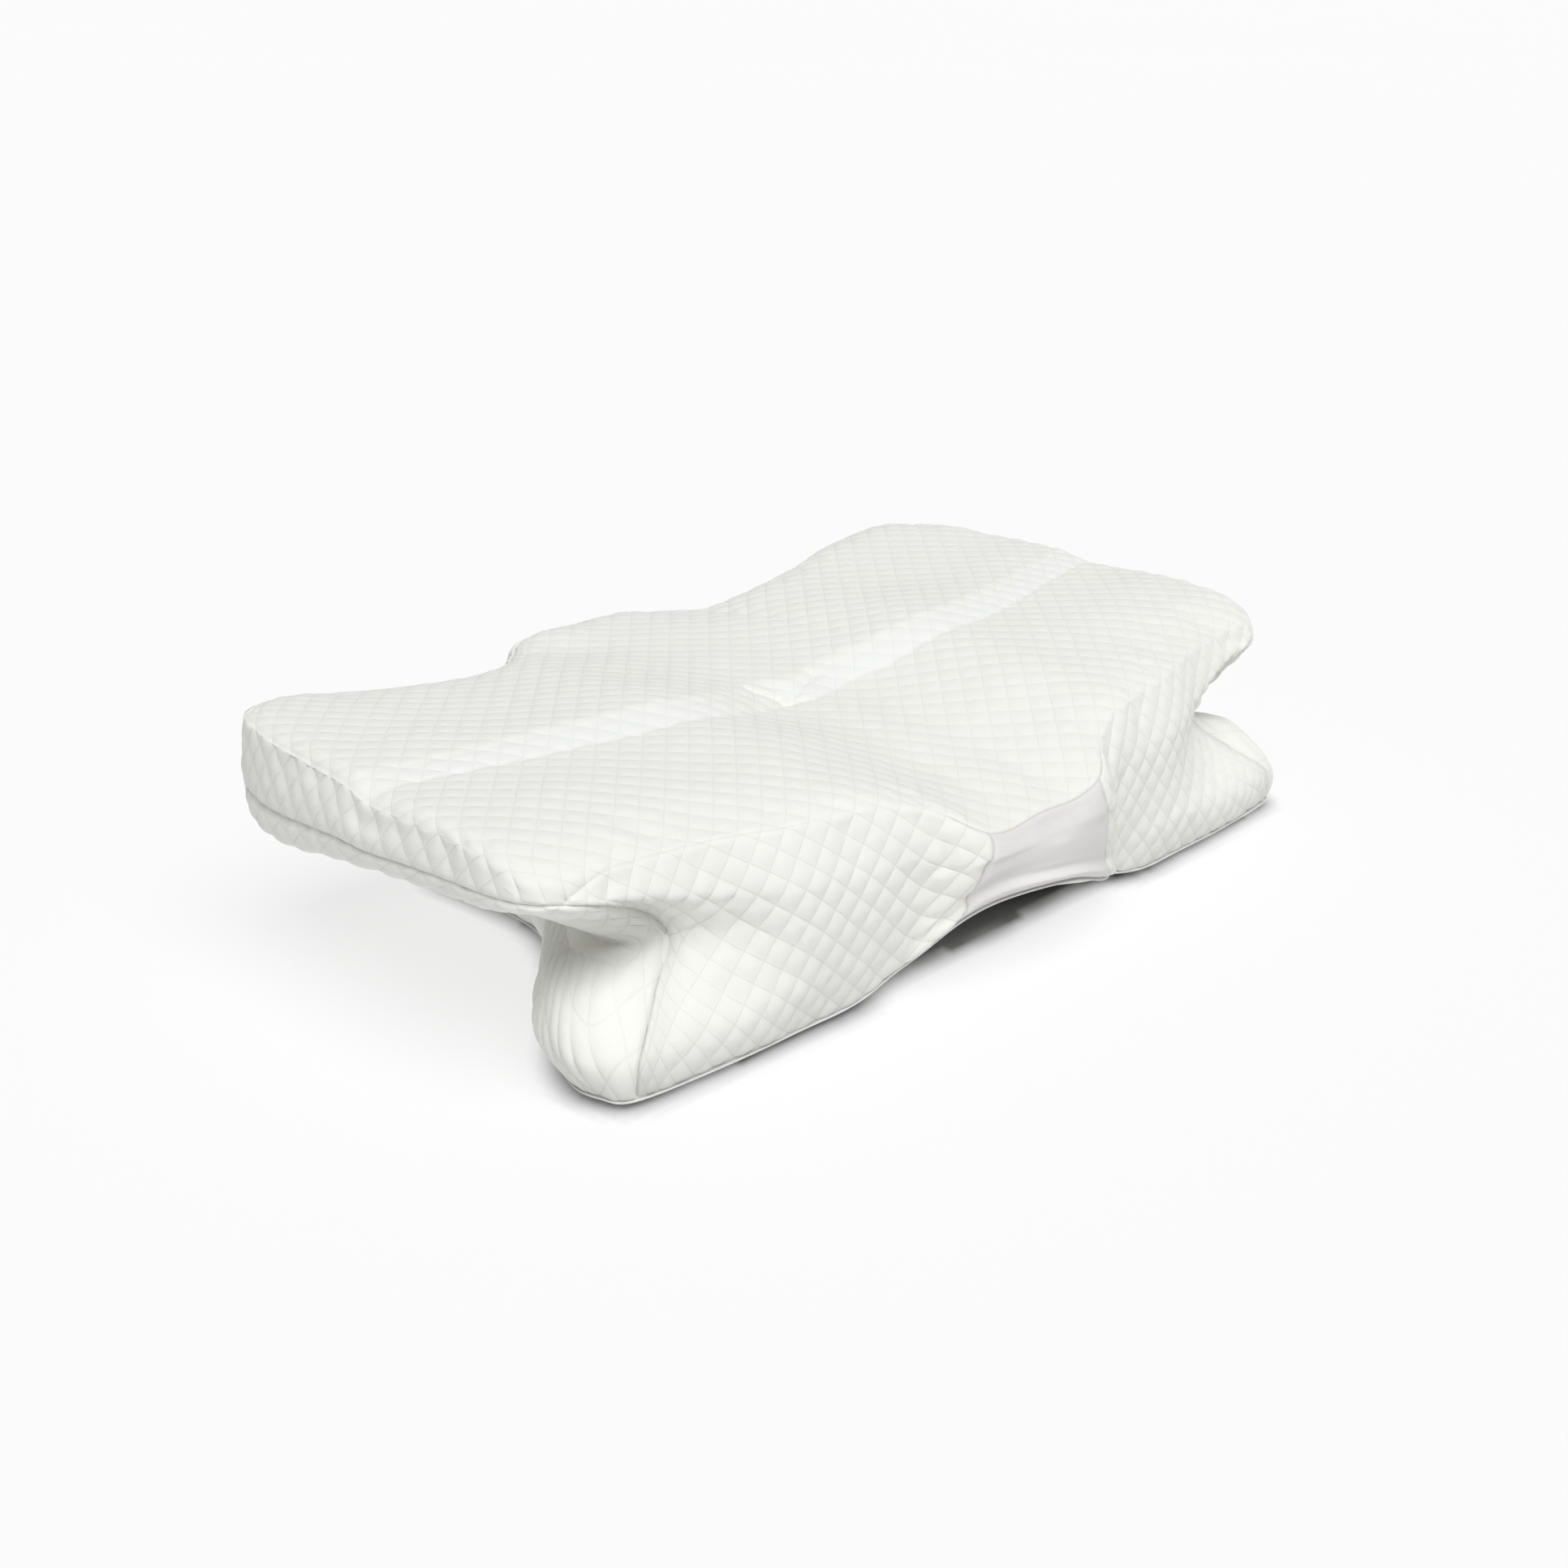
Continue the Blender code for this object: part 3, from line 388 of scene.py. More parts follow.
def skin_rows():
    """The outside of the cover before quilting, as rows of points in metres."""
    edge = full_rail(UPPER_EDGE)
    seam, groove, foot, base, contact = [
        full_rail(rail) for rail in (WING_SEAM, GROOVE, FOOT, BASE_EDGE, CONTACT_EDGE)
    ]
    station = signed_station()
    reach = np.abs(station)
    for middle, width, shift in CORNER_SHIFTS:
        moved = np.array([*shift, 0.0]) * bump(station - middle, width)[:, None]
        edge, seam = edge + moved[:, :2], seam + moved
    seam[:, 2] += local_offset(station, SEAM_LIFT)
    spine = spine_points(SPINE_REACH)
    outward = edge - spine
    outward /= np.linalg.norm(outward, axis=1, keepdims=True)
    inner = edge - outward * EDGE_REACH
    share = (np.arange(TOP_ROWS) / TOP_ROWS)[:, None, None]
    rings = spine + (inner - spine) * share
    top = np.concatenate([rings, top_height(rings[..., 0], rings[..., 1])[..., None]], axis=2)
    crest = edge - outward * EDGE_REACH * CREST_REACH
    crest_height = top_height(edge[:, 0], edge[:, 1])
    lip, front = settled_front(station)
    groove = groove + lip * LIP_AT_GROOVE
    foot, base, contact = foot + front, base + front, contact + front * CONTACT_SHARE
    along_wing = smooth_step((reach - 6.5) / 1.5) * smooth_step((FAR_CORNER - reach) / 2.0)
    across = between(UNDERSIDE_ACROSS, smooth_step((reach - 6.0) / 1.5))
    underside = rail_between(seam, groove, across, between(UNDERSIDE_DOWN, along_wing))
    knee = smooth_step((reach - 5.8) / 1.2) * smooth_step((9.5 - reach) / 1.5)
    across = between(FOOT_TOP_ACROSS, smooth_step((reach - 6.5) / 1.5)) + KNEE_ACROSS * knee
    foot_top = rail_between(groove, foot, across, FOOT_TOP_DOWN - KNEE_DOWN * knee)
    wall = np.stack([
        np.column_stack([inner, top_height(inner[:, 0], inner[:, 1])]),
        np.column_stack([crest, crest_height - EDGE_DROP * CREST_DROP]),
        np.column_stack([edge, crest_height - EDGE_DROP]),
        seam, underside, groove, foot_top, foot, base, contact,
    ])
    places = wall_places()
    walls = column_spline(wall, places)
    base_spine = np.column_stack([spine_points(BASE_SPINE_REACH), np.zeros(COLUMNS)])
    share = (np.arange(1, BASE_ROWS + 1) / BASE_ROWS)[:, None, None]
    floor_rows = contact + (base_spine - contact) * share
    rows = np.concatenate([top, walls, floor_rows]) * CM
    no_place = np.full((TOP_ROWS, COLUMNS), -1.0)
    floor_place = np.full((BASE_ROWS, COLUMNS), TAU_CONTACT + 1)
    return rows, np.concatenate([no_place, places, floor_place])


def welded_index(row_count, columns):
    """Index of every grid point; the first and the last row fold in two along their spine, and the columns
    within one block of a spine's end meet in one point."""
    index = np.arange(row_count * columns).reshape(row_count, columns)
    half = columns // 2
    column = np.arange(columns)
    mirrored = columns - column
    tip = half // 2 - BLOCK * columns // COLUMNS
    right = np.minimum(np.minimum(column, half - column), tip)
    left = (columns - np.minimum(np.minimum(mirrored, half - mirrored), tip)) % columns
    folded = np.where(column <= half, right, left)
    for row in (0, row_count - 1):
        index[row] = row * columns + folded
    return index


def grid_normals(points, index):
    """Outward unit normal of every grid point."""
    rows, columns, _ = points.shape
    flat = points.reshape(-1, 3)
    after = np.roll(index, -1, axis=1)
    corners = [index[:-1], index[1:], after[1:], after[:-1]]
    a, b, c, d = [flat[corner] for corner in corners]
    face_normals = np.cross(c - a, d - b)
    total = np.zeros((rows * columns, 3))
    for corner in corners:
        for axis in range(3):
            total[:, axis] += np.bincount(
                corner.ravel(), weights=face_normals[..., axis].ravel(), minlength=rows * columns
            )
    normals = total[index]
    normals /= np.maximum(np.linalg.norm(normals, axis=-1, keepdims=True), SMALLEST)
    return normals if normals[rows // 5, 0, 2] > 0 else -normals


# ---------------------------------------------------------------- softening by cloth simulation
SWELL_FRAMES = 20
SWELL_PRESSURE = 4.0
SWELL_LIMIT = 1.8 * MM
SWELL_START = 0.8 * MM
CLOTH_MASS = 0.15
CLOTH_STIFFNESS = 12.0
CLOTH_SHRINK = -0.003
CLOTH_BENDING = 3.0


def refine(values):
    """Spreads values at every fourth point of the grid over the whole grid, smoothly."""
    for axis in (0, 1):
        values = np.moveaxis(values, axis, 0)
        if axis == 0:
            before = np.concatenate([values[:1], values[:-1]])[:-1]
            start, end = values[:-1], values[1:]
            after = np.concatenate([values[2:], values[-1:]])
        else:
            before, start = np.roll(values, 1, axis=0), values
            end, after = np.roll(values, -1, axis=0), np.roll(values, -2, axis=0)
        steps = [catmull_rom(before, start, end, after, k / BLOCK) for k in range(BLOCK)]
        finer = np.stack(steps, axis=1).reshape(-1, *values.shape[1:])
        if axis == 0:
            finer = np.concatenate([finer, values[-1:]])
        values = np.moveaxis(finer, 0, axis)
    return values


def run_cloth(item):
    """Steps the cloth simulation of one object and returns where its points end up."""
    cloth = item.modifiers.new("swell", "CLOTH")
    settings = cloth.settings
    settings.quality = 5
    settings.mass = CLOTH_MASS
    settings.tension_stiffness = CLOTH_STIFFNESS
    settings.compression_stiffness = CLOTH_STIFFNESS
    settings.use_pressure = True
    settings.uniform_pressure_force = SWELL_PRESSURE
    settings.bending_stiffness = CLOTH_BENDING
    settings.shrink_min = CLOTH_SHRINK
    settings.vertex_group_mass = "held"
    settings.effector_weights.gravity = 0.0
    cloth.point_cache.frame_start = 1
    cloth.point_cache.frame_end = SWELL_FRAMES
    scene = bpy.context.scene
    for number in range(1, SWELL_FRAMES + 1):
        scene.frame_set(number)
    evaluated = item.evaluated_get(bpy.context.evaluated_depsgraph_get())
    moved = np.zeros(len(item.data.vertices) * 3)
    evaluated.data.vertices.foreach_get("co", moved)
    scene.frame_set(1)
    return moved.reshape(-1, 3)


def cloth_swell(rows, marked):
    """How far every grid point swells outwards when the cover is inflated between its held seams."""
    points = rows[::BLOCK, ::BLOCK]
    index = welded_index(*points.shape[:2])
    normals = grid_normals(points, index)
    used, faces = grid_faces(index, np.ones((points.shape[0] - 1, points.shape[1]), bool))
    start = (points - normals * SWELL_START).reshape(-1, 3)[used]
    item = mesh_item("swelling_cover", start, faces, None)
    held = item.vertex_groups.new(name="held")
    on_seam = marked[::BLOCK, ::BLOCK].copy()
    on_seam[(TOP_ROWS + sum(WALL_ROWS[:-1])) // BLOCK:] = True
    fixed = np.nonzero(on_seam.ravel()[used])[0]
    held.add(fixed.tolist(), 1.0, "REPLACE")
    out = (run_cloth(item) - start) * normals.reshape(-1, 3)[used]
    bpy.data.objects.remove(item, do_unlink=True)
    moved = np.zeros(points.shape[0] * points.shape[1])
    moved[used] = SWELL_LIMIT * np.tanh(out.sum(axis=1) / SWELL_LIMIT)
    return refine(moved[index]) - SWELL_START


# ---------------------------------------------------------------- panels of the cover
PANELS = (
    "cover_top_panel", "cover_front_left_panel", "cover_front_center_panel", "cover_front_right_panel",
    "cover_side_left_panel", "cover_side_right_panel", "cover_back_panel", "cover_bottom_panel",
)
TOP, FRONT_LEFT, FRONT_CENTER, FRONT_RIGHT, SIDE_LEFT, SIDE_RIGHT, BACK, BOTTOM = range(len(PANELS))
ZIP_SLOT = len(PANELS)

ROW_CREST = TOP_ROWS + WALL_ROWS[0]
ROW_BORDER = TOP_ROWS + sum(WALL_ROWS[:3])
ROW_GROOVE = TOP_ROWS + sum(WALL_ROWS[:4])
ROW_ZIP_TOP = TOP_ROWS + sum(WALL_ROWS[:6])
ROW_ZIP_BOTTOM = TOP_ROWS + sum(WALL_ROWS[:7])
ROW_BASE = TOP_ROWS + sum(WALL_ROWS[:8])
ROW_CONTACT = TOP_ROWS + sum(WALL_ROWS)
ROW_COUNT = ROW_CONTACT + 1 + BASE_ROWS


def face_panels():
    """Panel number of every grid face."""
    row = np.arange(ROW_COUNT - 1)[:, None]
    station = (np.arange(COLUMNS) + 0.5) / COLUMNS_PER_STATION
    station = np.where(station > LAST_STATION, station - 2 * LAST_STATION, station)[None, :]
    reach = np.abs(station)
    right = station > 0
    panels = np.full((ROW_COUNT - 1, COLUMNS), BACK)
    panels = np.where(reach < FAR_CORNER, np.where(right, SIDE_RIGHT, SIDE_LEFT), panels)
    front = (reach < FOOT_SEAM) | ((reach < FRONT_TIP) & (row < ROW_BORDER))
    panels = np.where(front, np.where(right, FRONT_RIGHT, FRONT_LEFT), panels)
    panels = np.where(reach < PANEL_CORNER, FRONT_CENTER, panels)
    over_wing = (row < ROW_BORDER) & (reach > FRONT_TIP) & (reach < FAR_CORNER)
    panels = np.where((row < ROW_CREST) | over_wing, TOP, panels)
    panels = np.where(row >= ROW_BASE, BOTTOM, panels)
    slot = (row >= ROW_ZIP_TOP) & (row < ROW_ZIP_BOTTOM) & (reach > ZIP_END)
    return np.where(slot, ZIP_SLOT, panels)


def border_points(panels):
    """Marks the grid points that lie on a seam between two panels."""
    marked = np.zeros((ROW_COUNT, COLUMNS), bool)
    left = np.roll(panels, 1, axis=1)
    upright = panels != left
    marked[:-1] |= upright
    marked[1:] |= upright
    level = panels[1:] != panels[:-1]
    marked[1:-1] |= level
    marked[1:-1] |= np.roll(level, 1, axis=1)
    return marked


def seam_distance(points, marked, reach_rows=10):
    """Distance in metres from every grid point to the nearest seam, and that seam point's flat index."""
    near = marked.copy()
    for _ in range(reach_rows):
        near |= np.roll(near, 1, axis=1) | np.roll(near, -1, axis=1)
        near[1:] |= near[:-1]
        near[:-1] |= near[1:]
    on_seam = np.nonzero(marked.ravel())[0]
    tree = KDTree(len(on_seam))
    for k, point in enumerate(points[marked]):
        tree.insert(point, k)
    tree.balance()
    distance = np.full(points.shape[:2], 1.0)
    nearest = np.zeros(points.shape[:2], int)
    found = np.array([tree.find(point)[1:] for point in points[near]])
    distance[near] = found[:, 1]
    nearest[near] = on_seam[found[:, 0].astype(int)]
    return distance, nearest


LEFT_CREST_SEAM = 0.35
BASE_SEAM = 0.3


def seam_strength():
    """How clearly the seam at each grid point shows: the top's seam fades out along most of the front."""
    station = signed_station()
    reach = np.abs(station)
    strength = np.ones((ROW_COUNT, COLUMNS))
    near_panel = 1 - smooth_step((reach - 1.3) / 0.6)
    at_left = LEFT_CREST_SEAM * smooth_step((-station - 3.3) / 1.0)
    over_front = np.maximum(near_panel, at_left)
    strength[ROW_CREST] = np.where(reach < FRONT_TIP + 0.2, over_front, 1.0)
    strength[ROW_BASE] = BASE_SEAM
    return strength


# ---------------------------------------------------------------- quilting
DIAMOND = 1.77 * CM
WING_DOWN_SCALE = 0.85
FOOT_DOWN_SCALE = 0.45
FOOT_AROUND_SCALE = 0.8
PUFF_CURVE = 0.6


def running_length(points, axis):
    """Length along the grid lines from the first row or column, in metres."""
    steps = np.linalg.norm(np.diff(points, axis=axis), axis=-1)
    start = np.zeros_like(np.take(steps, [0], axis=axis))
    return np.cumsum(np.concatenate([start, steps], axis=axis), axis=axis)


def around_rail(rail):
    """Length along a rail from the middle of the neck side, negative on the left."""
    ring = full_rail(rail) * CM
    around = running_length(np.vstack([ring, ring[:1]]), axis=0)
    return np.where(signed_station() < 0, around[:-1] - around[-1], around[:-1])


def quilt_coordinates(points):
    """Cloth coordinates in metres of every grid point: of the top and front panels, the back wall and the
    side panels.  Past the top's inner ring the cloth runs straight down, so the diamonds carry on."""
    down = running_length(points, axis=0)
    station = signed_station()
    reach = np.abs(station)
    turn = 0.5 * math.pi * smooth_step((reach - 5.6) / 1.8)
    outward = np.column_stack([np.sin(turn) * np.sign(station), -np.cos(turn)])
    sideways = np.column_stack([-outward[:, 1], outward[:, 0]])
    scale = 1 + (WING_DOWN_SCALE - 1) * smooth_step((reach - 6.0) / 1.5)
    past = (np.maximum(down - down[TOP_ROWS], 0.0) * scale)[..., None]
    ring = points[TOP_ROWS, :, :2]
    shift = ((points[..., :2] - ring) * sideways).sum(axis=-1)[..., None]
    top = np.where(past > 0, ring + outward * past + sideways * shift, points[..., :2])
    low = smooth_step((np.arange(ROW_COUNT) - ROW_BORDER) / (ROW_GROOVE - ROW_BORDER))[:, None]
    around = around_rail(WING_SEAM) * (1 - low) + around_rail(FOOT) * low
    depth = down - down[ROW_CREST]
    wall = np.stack([around, depth], axis=-1)
    foot_depth = depth - np.maximum(down - down[ROW_GROOVE], 0.0) * (1 - FOOT_DOWN_SCALE)
    side = np.stack([around * FOOT_AROUND_SCALE, foot_depth], axis=-1)
    return top, wall, side


def diamond_lines(cloth):
    """The two families of stitched lines as numbers that are whole on a line."""
    return np.stack([(cloth[..., 0] + cloth[..., 1]), (cloth[..., 0] - cloth[..., 1])], axis=-1) / DIAMOND


def puff(lines):
    """Padding between the stitched lines: 0 on a line and 1 in the middle of a diamond."""
    waves = np.abs(np.sin(math.pi * lines))
    return (waves[..., 0] * waves[..., 1]) ** PUFF_CURVE


# ---------------------------------------------------------------- creases
GROOVE_CREASE_DEPTH = 1.6 * MM
GROOVE_CREASE_WIDTH = 5.0 * MM
BAND_EDGE_DEPTH = 0.7 * MM
BAND_EDGE_WIDTH = 2.5 * MM
FAR_EDGE_SHARE = 0.6
PIT_WRINKLE = 1.0 * MM
PIT_REACH = 22.0 * MM
PIT_EYE = 4 * MM
PIT_RAYS = (7, 3)
CREASE_ROWS = 16


def segment_distance(x, y, start_x, start_y, end_x, end_y):
    """Distance in the plan from points to a straight piece of a crease."""
    along_x, along_y = end_x - start_x, end_y - start_y
    share = ((x - start_x) * along_x + (y - start_y) * along_y) / (along_x ** 2 + along_y ** 2)
    share = np.clip(share, 0.0, 1.0)
    return np.hypot(x - start_x - along_x * share, y - start_y - along_y * share)


def band_share(points):
    """How far into the band along the step each grid point lies, where the colour is painted whiter as
    light: 1 on the step between the top's halves.
    """
    x, y = points[..., 0] / CM, points[..., 1] / CM
    above = y - graph_height(VALLEY, x)
    on_band = smooth_step((above + 0.05) / 0.25) * smooth_step((BAND_WIDTH + 0.1 - above) / 0.3)
    gap = smooth_step((x + 8.8) / 1.2) * smooth_step((-1.2 - x) / 1.0)
    fade = smooth_step((31.5 - np.abs(x)) / 5.0)
    on_top = (np.arange(ROW_COUNT) < ROW_CREST + 4)[:, None]
    return on_band * (1 - gap) * fade * on_top


def top_creases(points):
    """Depth in metres of the creases of the top: along the band's edges and round the middle."""
    x, y = points[..., 0] / CM, points[..., 1] / CM
    above = (y - graph_height(VALLEY, x)) * CM
    edges = bump(above, BAND_EDGE_WIDTH) + FAR_EDGE_SHARE * bump(above - BAND_WIDTH * CM, BAND_EDGE_WIDTH)
    depth = BAND_EDGE_DEPTH * edges * smooth_step((33.0 - np.abs(x)) / 6.0)
    for *ends, deep, wide in TOP_CREASES:
        depth = depth + deep * MM * bump(segment_distance(x, y, *ends) * CM, wide * MM)
    on_top = (np.arange(ROW_COUNT) < ROW_CREST)[:, None]
    return depth * on_top


def groove_creases(points):
    """Depth of the crease along the arm grooves, and of the wrinkles where the front seams meet it."""
    station = signed_station()
    reach = np.abs(station)
    groove = points[ROW_GROOVE]
    away = np.linalg.norm(points - groove, axis=-1)
    share = smooth_step((reach - 5.6) / 0.6) * smooth_step((12.0 - reach) / 2.0)
    near_row = (np.abs(np.arange(ROW_COUNT) - ROW_GROOVE) < CREASE_ROWS)[:, None]
    depth = GROOVE_CREASE_DEPTH * share * np.exp(-away / GROOVE_CREASE_WIDTH) * near_row
    for side in (-1, 1):
        column = int(side * FOOT_SEAM * COLUMNS_PER_STATION) % COLUMNS
        offset = points - points[ROW_GROOVE, column]
        distance = np.linalg.norm(offset, axis=-1)
        angle = np.arctan2(offset[..., 2], offset[..., 0] * side)
        rays = np.sin(PIT_RAYS[0] * angle + side) * np.sin(PIT_RAYS[1] * angle + 0.6)
        around_eye = np.exp(-distance / PIT_REACH) * (1 - np.exp(-distance / PIT_EYE))
        depth = depth + PIT_WRINKLE * rays * around_eye
    return depth


# ---------------------------------------------------------------- mesh pieces
def mesh_item(name, vertices, polygons, material):
    mesh = bpy.data.meshes.new(name)
    mesh.from_pydata([tuple(v) for v in vertices], [], [tuple(p) for p in polygons])
    mesh.update()
    item = bpy.data.objects.new(name, mesh)
    bpy.context.scene.collection.objects.link(item)
    if material is not None:
        mesh.materials.append(material)
    mesh.shade_smooth()
    return item


def grid_faces(index, chosen):
    """The grid points that the chosen faces use, and those faces in numbers of the used points."""
    after = np.roll(index, -1, axis=1)
    rows, columns = np.nonzero(chosen)
    quads = np.stack([
        index[rows, columns], index[rows + 1, columns], after[rows + 1, columns], after[rows, columns],
    ], axis=1)
    used, faces = np.unique(quads, return_inverse=True)
    return used, drop_repeats(faces.reshape(quads.shape).tolist())


def drop_repeats(faces):
    """Turns quads that use a point twice into triangles, and leaves out those that become lines."""
    kept = []
    for face in faces:
        corners = [corner for k, corner in enumerate(face) if corner != face[k - 1]]
        if len(set(corners)) > 2:
            kept.append(corners)
    return kept


def rim_sides(chosen):
    """The open sides of the chosen blocks: start corner, step along it and the rear corners' offsets."""
    rows, columns = chosen.shape
    for row, column in zip(*np.nonzero(chosen)):
        if not chosen[row, (column - 1) % columns]:
            yield (row, column), (1, 0)
        if row + 1 < rows and not chosen[row + 1, column]:
            yield (row + 1, column), (0, 1)
        if not chosen[row, (column + 1) % columns]:
            yield (row + 1, column + 1), (-1, 0)
        if row > 0 and not chosen[row - 1, column]:
            yield (row, column + 1), (0, -1)


RIM_ANGLE = math.radians(55)


def layer_piece(name, chosen, index, outer, inner, block, material):
    """A closed piece of cloth over the chosen faces: the outer side, a rear side that may be coarser by
    block, and the rim between them.  Returns the object and the grid points of its outer side."""
    columns = index.shape[1]
    used, polygons = grid_faces(index, chosen)
    lookup = dict(zip(used.tolist(), range(len(used))))
    blocks = chosen[::block, ::block]
    rear_used, rear_faces = grid_faces(index[::block, ::block], blocks)
    rear_lookup = dict(zip(rear_used.tolist(), range(len(used), len(used) + len(rear_used))))
    polygons += [[corner + len(used) for corner in face[::-1]] for face in rear_faces]
    for (row, column), (down, across) in rim_sides(blocks):
        run = [
            index[row * block + down * k, (column * block + across * k) % columns] for k in range(block + 1)
        ]
        front = [lookup[point] for point in run[::-1]]
        polygons.append(front + [rear_lookup[run[0]], rear_lookup[run[-1]]])
    vertices = np.vstack([outer.reshape(-1, 3)[used], inner.reshape(-1, 3)[rear_used]])
    item = mesh_item(name, vertices.tolist(), polygons, material)
    item.data.set_sharp_from_angle(angle=RIM_ANGLE)
    return item, used


def add_cloth_data(item, used, lines, band, seam):
    """Stores the quilt's coordinates as a UV layer, and as point attributes the band's share, painted whiter
    as light, and the painted shade of the seams and of the fold over the arm space.
    """
    count = len(item.data.vertices)
    at_vertex = np.zeros((count, 2))
    at_vertex[:len(used)] = lines.reshape(-1, 2)[used]
    loops = np.zeros(len(item.data.loops), int)
    item.data.loops.foreach_get("vertex_index", loops)
    layer = item.data.uv_layers.new(name="quilt")
    layer.data.foreach_set("uv", at_vertex[loops].astype(np.float32).ravel())
    for name, share in (("band", band), ("seam", seam)):
        shares = np.zeros(count, np.float32)
        shares[:len(used)] = share.ravel()[used]
        attribute = item.data.attributes.new(name, "FLOAT", "POINT")
        attribute.data.foreach_set("value", shares)


def fix_normals(item):
    bm = bmesh.new()
    bm.from_mesh(item.data)
    bmesh.ops.recalc_face_normals(bm, faces=bm.faces[:])
    bm.to_mesh(item.data)
    bm.free()


# ---------------------------------------------------------------- materials
FLOOR_Z = -0.3 * MM
# The floor's emission is painted light; GLOW_UNDER and GLOW_FADE set where it fades out round the pillow as
# a painted shadow.
FLOOR_GLOW = 0.73
GLOW_UNDER = 6 * MM
GLOW_FADE = 24 * MM


class Tree:
    def __init__(self, name, colour, roughness, metallic=0.0, sheen=0.0):
        self.material = bpy.data.materials.new(name)
        self.material.use_nodes = True
        self.nodes = self.material.node_tree.nodes
        self.links = self.material.node_tree.links
        self.shader = self.nodes["Principled BSDF"]
        self.shader.inputs["Base Color"].default_value = (*colour, 1.0)
        self.shader.inputs["Roughness"].default_value = roughness
        self.shader.inputs["Metallic"].default_value = metallic
        self.shader.inputs["Sheen Weight"].default_value = sheen
        self.shader.inputs["Sheen Roughness"].default_value = 0.6

    def add(self, kind, inputs=None, **settings):
        made = self.nodes.new("ShaderNode" + kind)
        for key, value in settings.items():
            setattr(made, key, value)
        for key, value in (inputs or {}).items():
            if isinstance(value, bpy.types.NodeSocket):
                self.links.new(value, made.inputs[key])
            else:
                made.inputs[key].default_value = value
        return made

    def math(self, operation, first, second=0.0, third=None):
        inputs = {0: first, 1: second}
        if third is not None:
            inputs[2] = third
        return self.add("Math", inputs, operation=operation).outputs[0]

    def uv(self):
        return self.add("UVMap", uv_map="quilt").outputs[0]

    def place(self):
        return self.add("TexCoord").outputs["Object"]

    def noise(self, scale, detail=2.0, roughness=0.5, vector=None):
        inputs = {"Scale": scale, "Detail": detail, "Roughness": roughness, "Vector": vector or self.place()}
        return self.add("TexNoise", inputs).outputs["Fac"]

    def ramp(self, value, low, high, to_low, to_high):
        inputs = {"Value": value, "From Min": low, "From Max": high, "To Min": to_low, "To Max": to_high}
        return self.add("MapRange", inputs).outputs[0]

    def mix(self, factor, first, second):
        made = self.add("Mix", {"Factor": factor}, data_type="RGBA")
        for key, value in (("A", first), ("B", second)):
            socket = [s for s in made.inputs if s.name == key and s.type == "RGBA"][0]
            if isinstance(value, bpy.types.NodeSocket):
                self.links.new(value, socket)
            else:
                socket.default_value = (*value, 1.0)
        return [s for s in made.outputs if s.type == "RGBA"][0]

    def bump(self, height, distance, normal=None):
        inputs = {"Height": height, "Distance": distance, "Strength": 1.0}
        if normal is not None:
            inputs["Normal"] = normal
        return self.add("Bump", inputs).outputs[0]

    def finish(self, colour=None, roughness=None, normal=None):
        for key, value in (("Base Color", colour), ("Roughness", roughness), ("Normal", normal)):
            if value is not None:
                self.links.new(value, self.shader.inputs[key])
        return self.material


def knit_height(tree, coordinates, waves):
    """Rows of small loops: two crossed sines of a knit's wales and courses."""
    parts = tree.add("SeparateXYZ", {0: coordinates}).outputs
    wales = tree.math("SINE", tree.math("MULTIPLY", parts[0], 2 * math.pi * waves))
    courses = tree.math("SINE", tree.math("MULTIPLY", parts[1], 2 * math.pi * waves))
    return tree.math("MULTIPLY_ADD", tree.math("MULTIPLY", wales, courses), 0.5, 0.5)


def quilted_knit():
    """White jacquard knit, stitched through in diamonds, with the band along the step painted whiter as
    light.
    The stitched lines are painted darker as shade, more where the cloth stands upright; the seams and the
    fold over the arm space are painted dark as shade."""
    tree = Tree("quilted_knit", (0.80, 0.805, 0.765), 0.9, sheen=0.12)
    uv = tree.uv()
    parts = tree.add("SeparateXYZ", {0: uv}).outputs
    lines = [tree.math("PINGPONG", parts[k], 0.5) for k in range(2)]
    nearest = tree.math("MINIMUM", lines[0], lines[1])
    stitch = tree.ramp(nearest, 0.0, 0.045, 1.0, 0.0)
    band = tree.add("Attribute", attribute_name="band").outputs["Fac"]
    seam = tree.add("Attribute", attribute_name="seam").outputs["Fac"]
    warm = tree.mix(tree.noise(9.0, 3.0), (0.785, 0.79, 0.74), (0.805, 0.81, 0.775))
    # Painted light: the band along the step is coloured whiter, and the painted shade of its stitched lines
    # is lighter.
    ground = tree.mix(band, warm, (0.80, 0.81, 0.795))
    shadow = tree.mix(band, (0.70, 0.70, 0.655), (0.75, 0.765, 0.76))
    # Painted shade in the stitched lines: strongest where the normal lies near level, so on upright cloth,
    # weakest on the top.
    facing = tree.add("SeparateXYZ", {0: tree.add("NewGeometry").outputs["Normal"]}).outputs[2]
    depth = tree.math("MULTIPLY", stitch, tree.ramp(facing, 0.1, 0.8, 0.75, 0.25))
    quilted = tree.mix(depth, ground, shadow)
    # Painted shade: the 'seam' attribute darkens the colour along the seams and deep in the fold over the
    # arm space.
    colour = tree.mix(tree.math("MULTIPLY", seam, 0.45), quilted, (0.50, 0.49, 0.46))
    knit = knit_height(tree, uv, 18.0)
    fuzz = tree.noise(900.0, 2.0)
    relief = tree.bump(tree.math("MULTIPLY_ADD", fuzz, 0.5, knit), 0.0001)
    normal = tree.bump(tree.math("SUBTRACT", 1.0, stitch), 0.00012, normal=relief)
    roughness = tree.ramp(fuzz, 0.2, 0.8, 0.82, 0.95)
    return tree.finish(colour, roughness, normal)


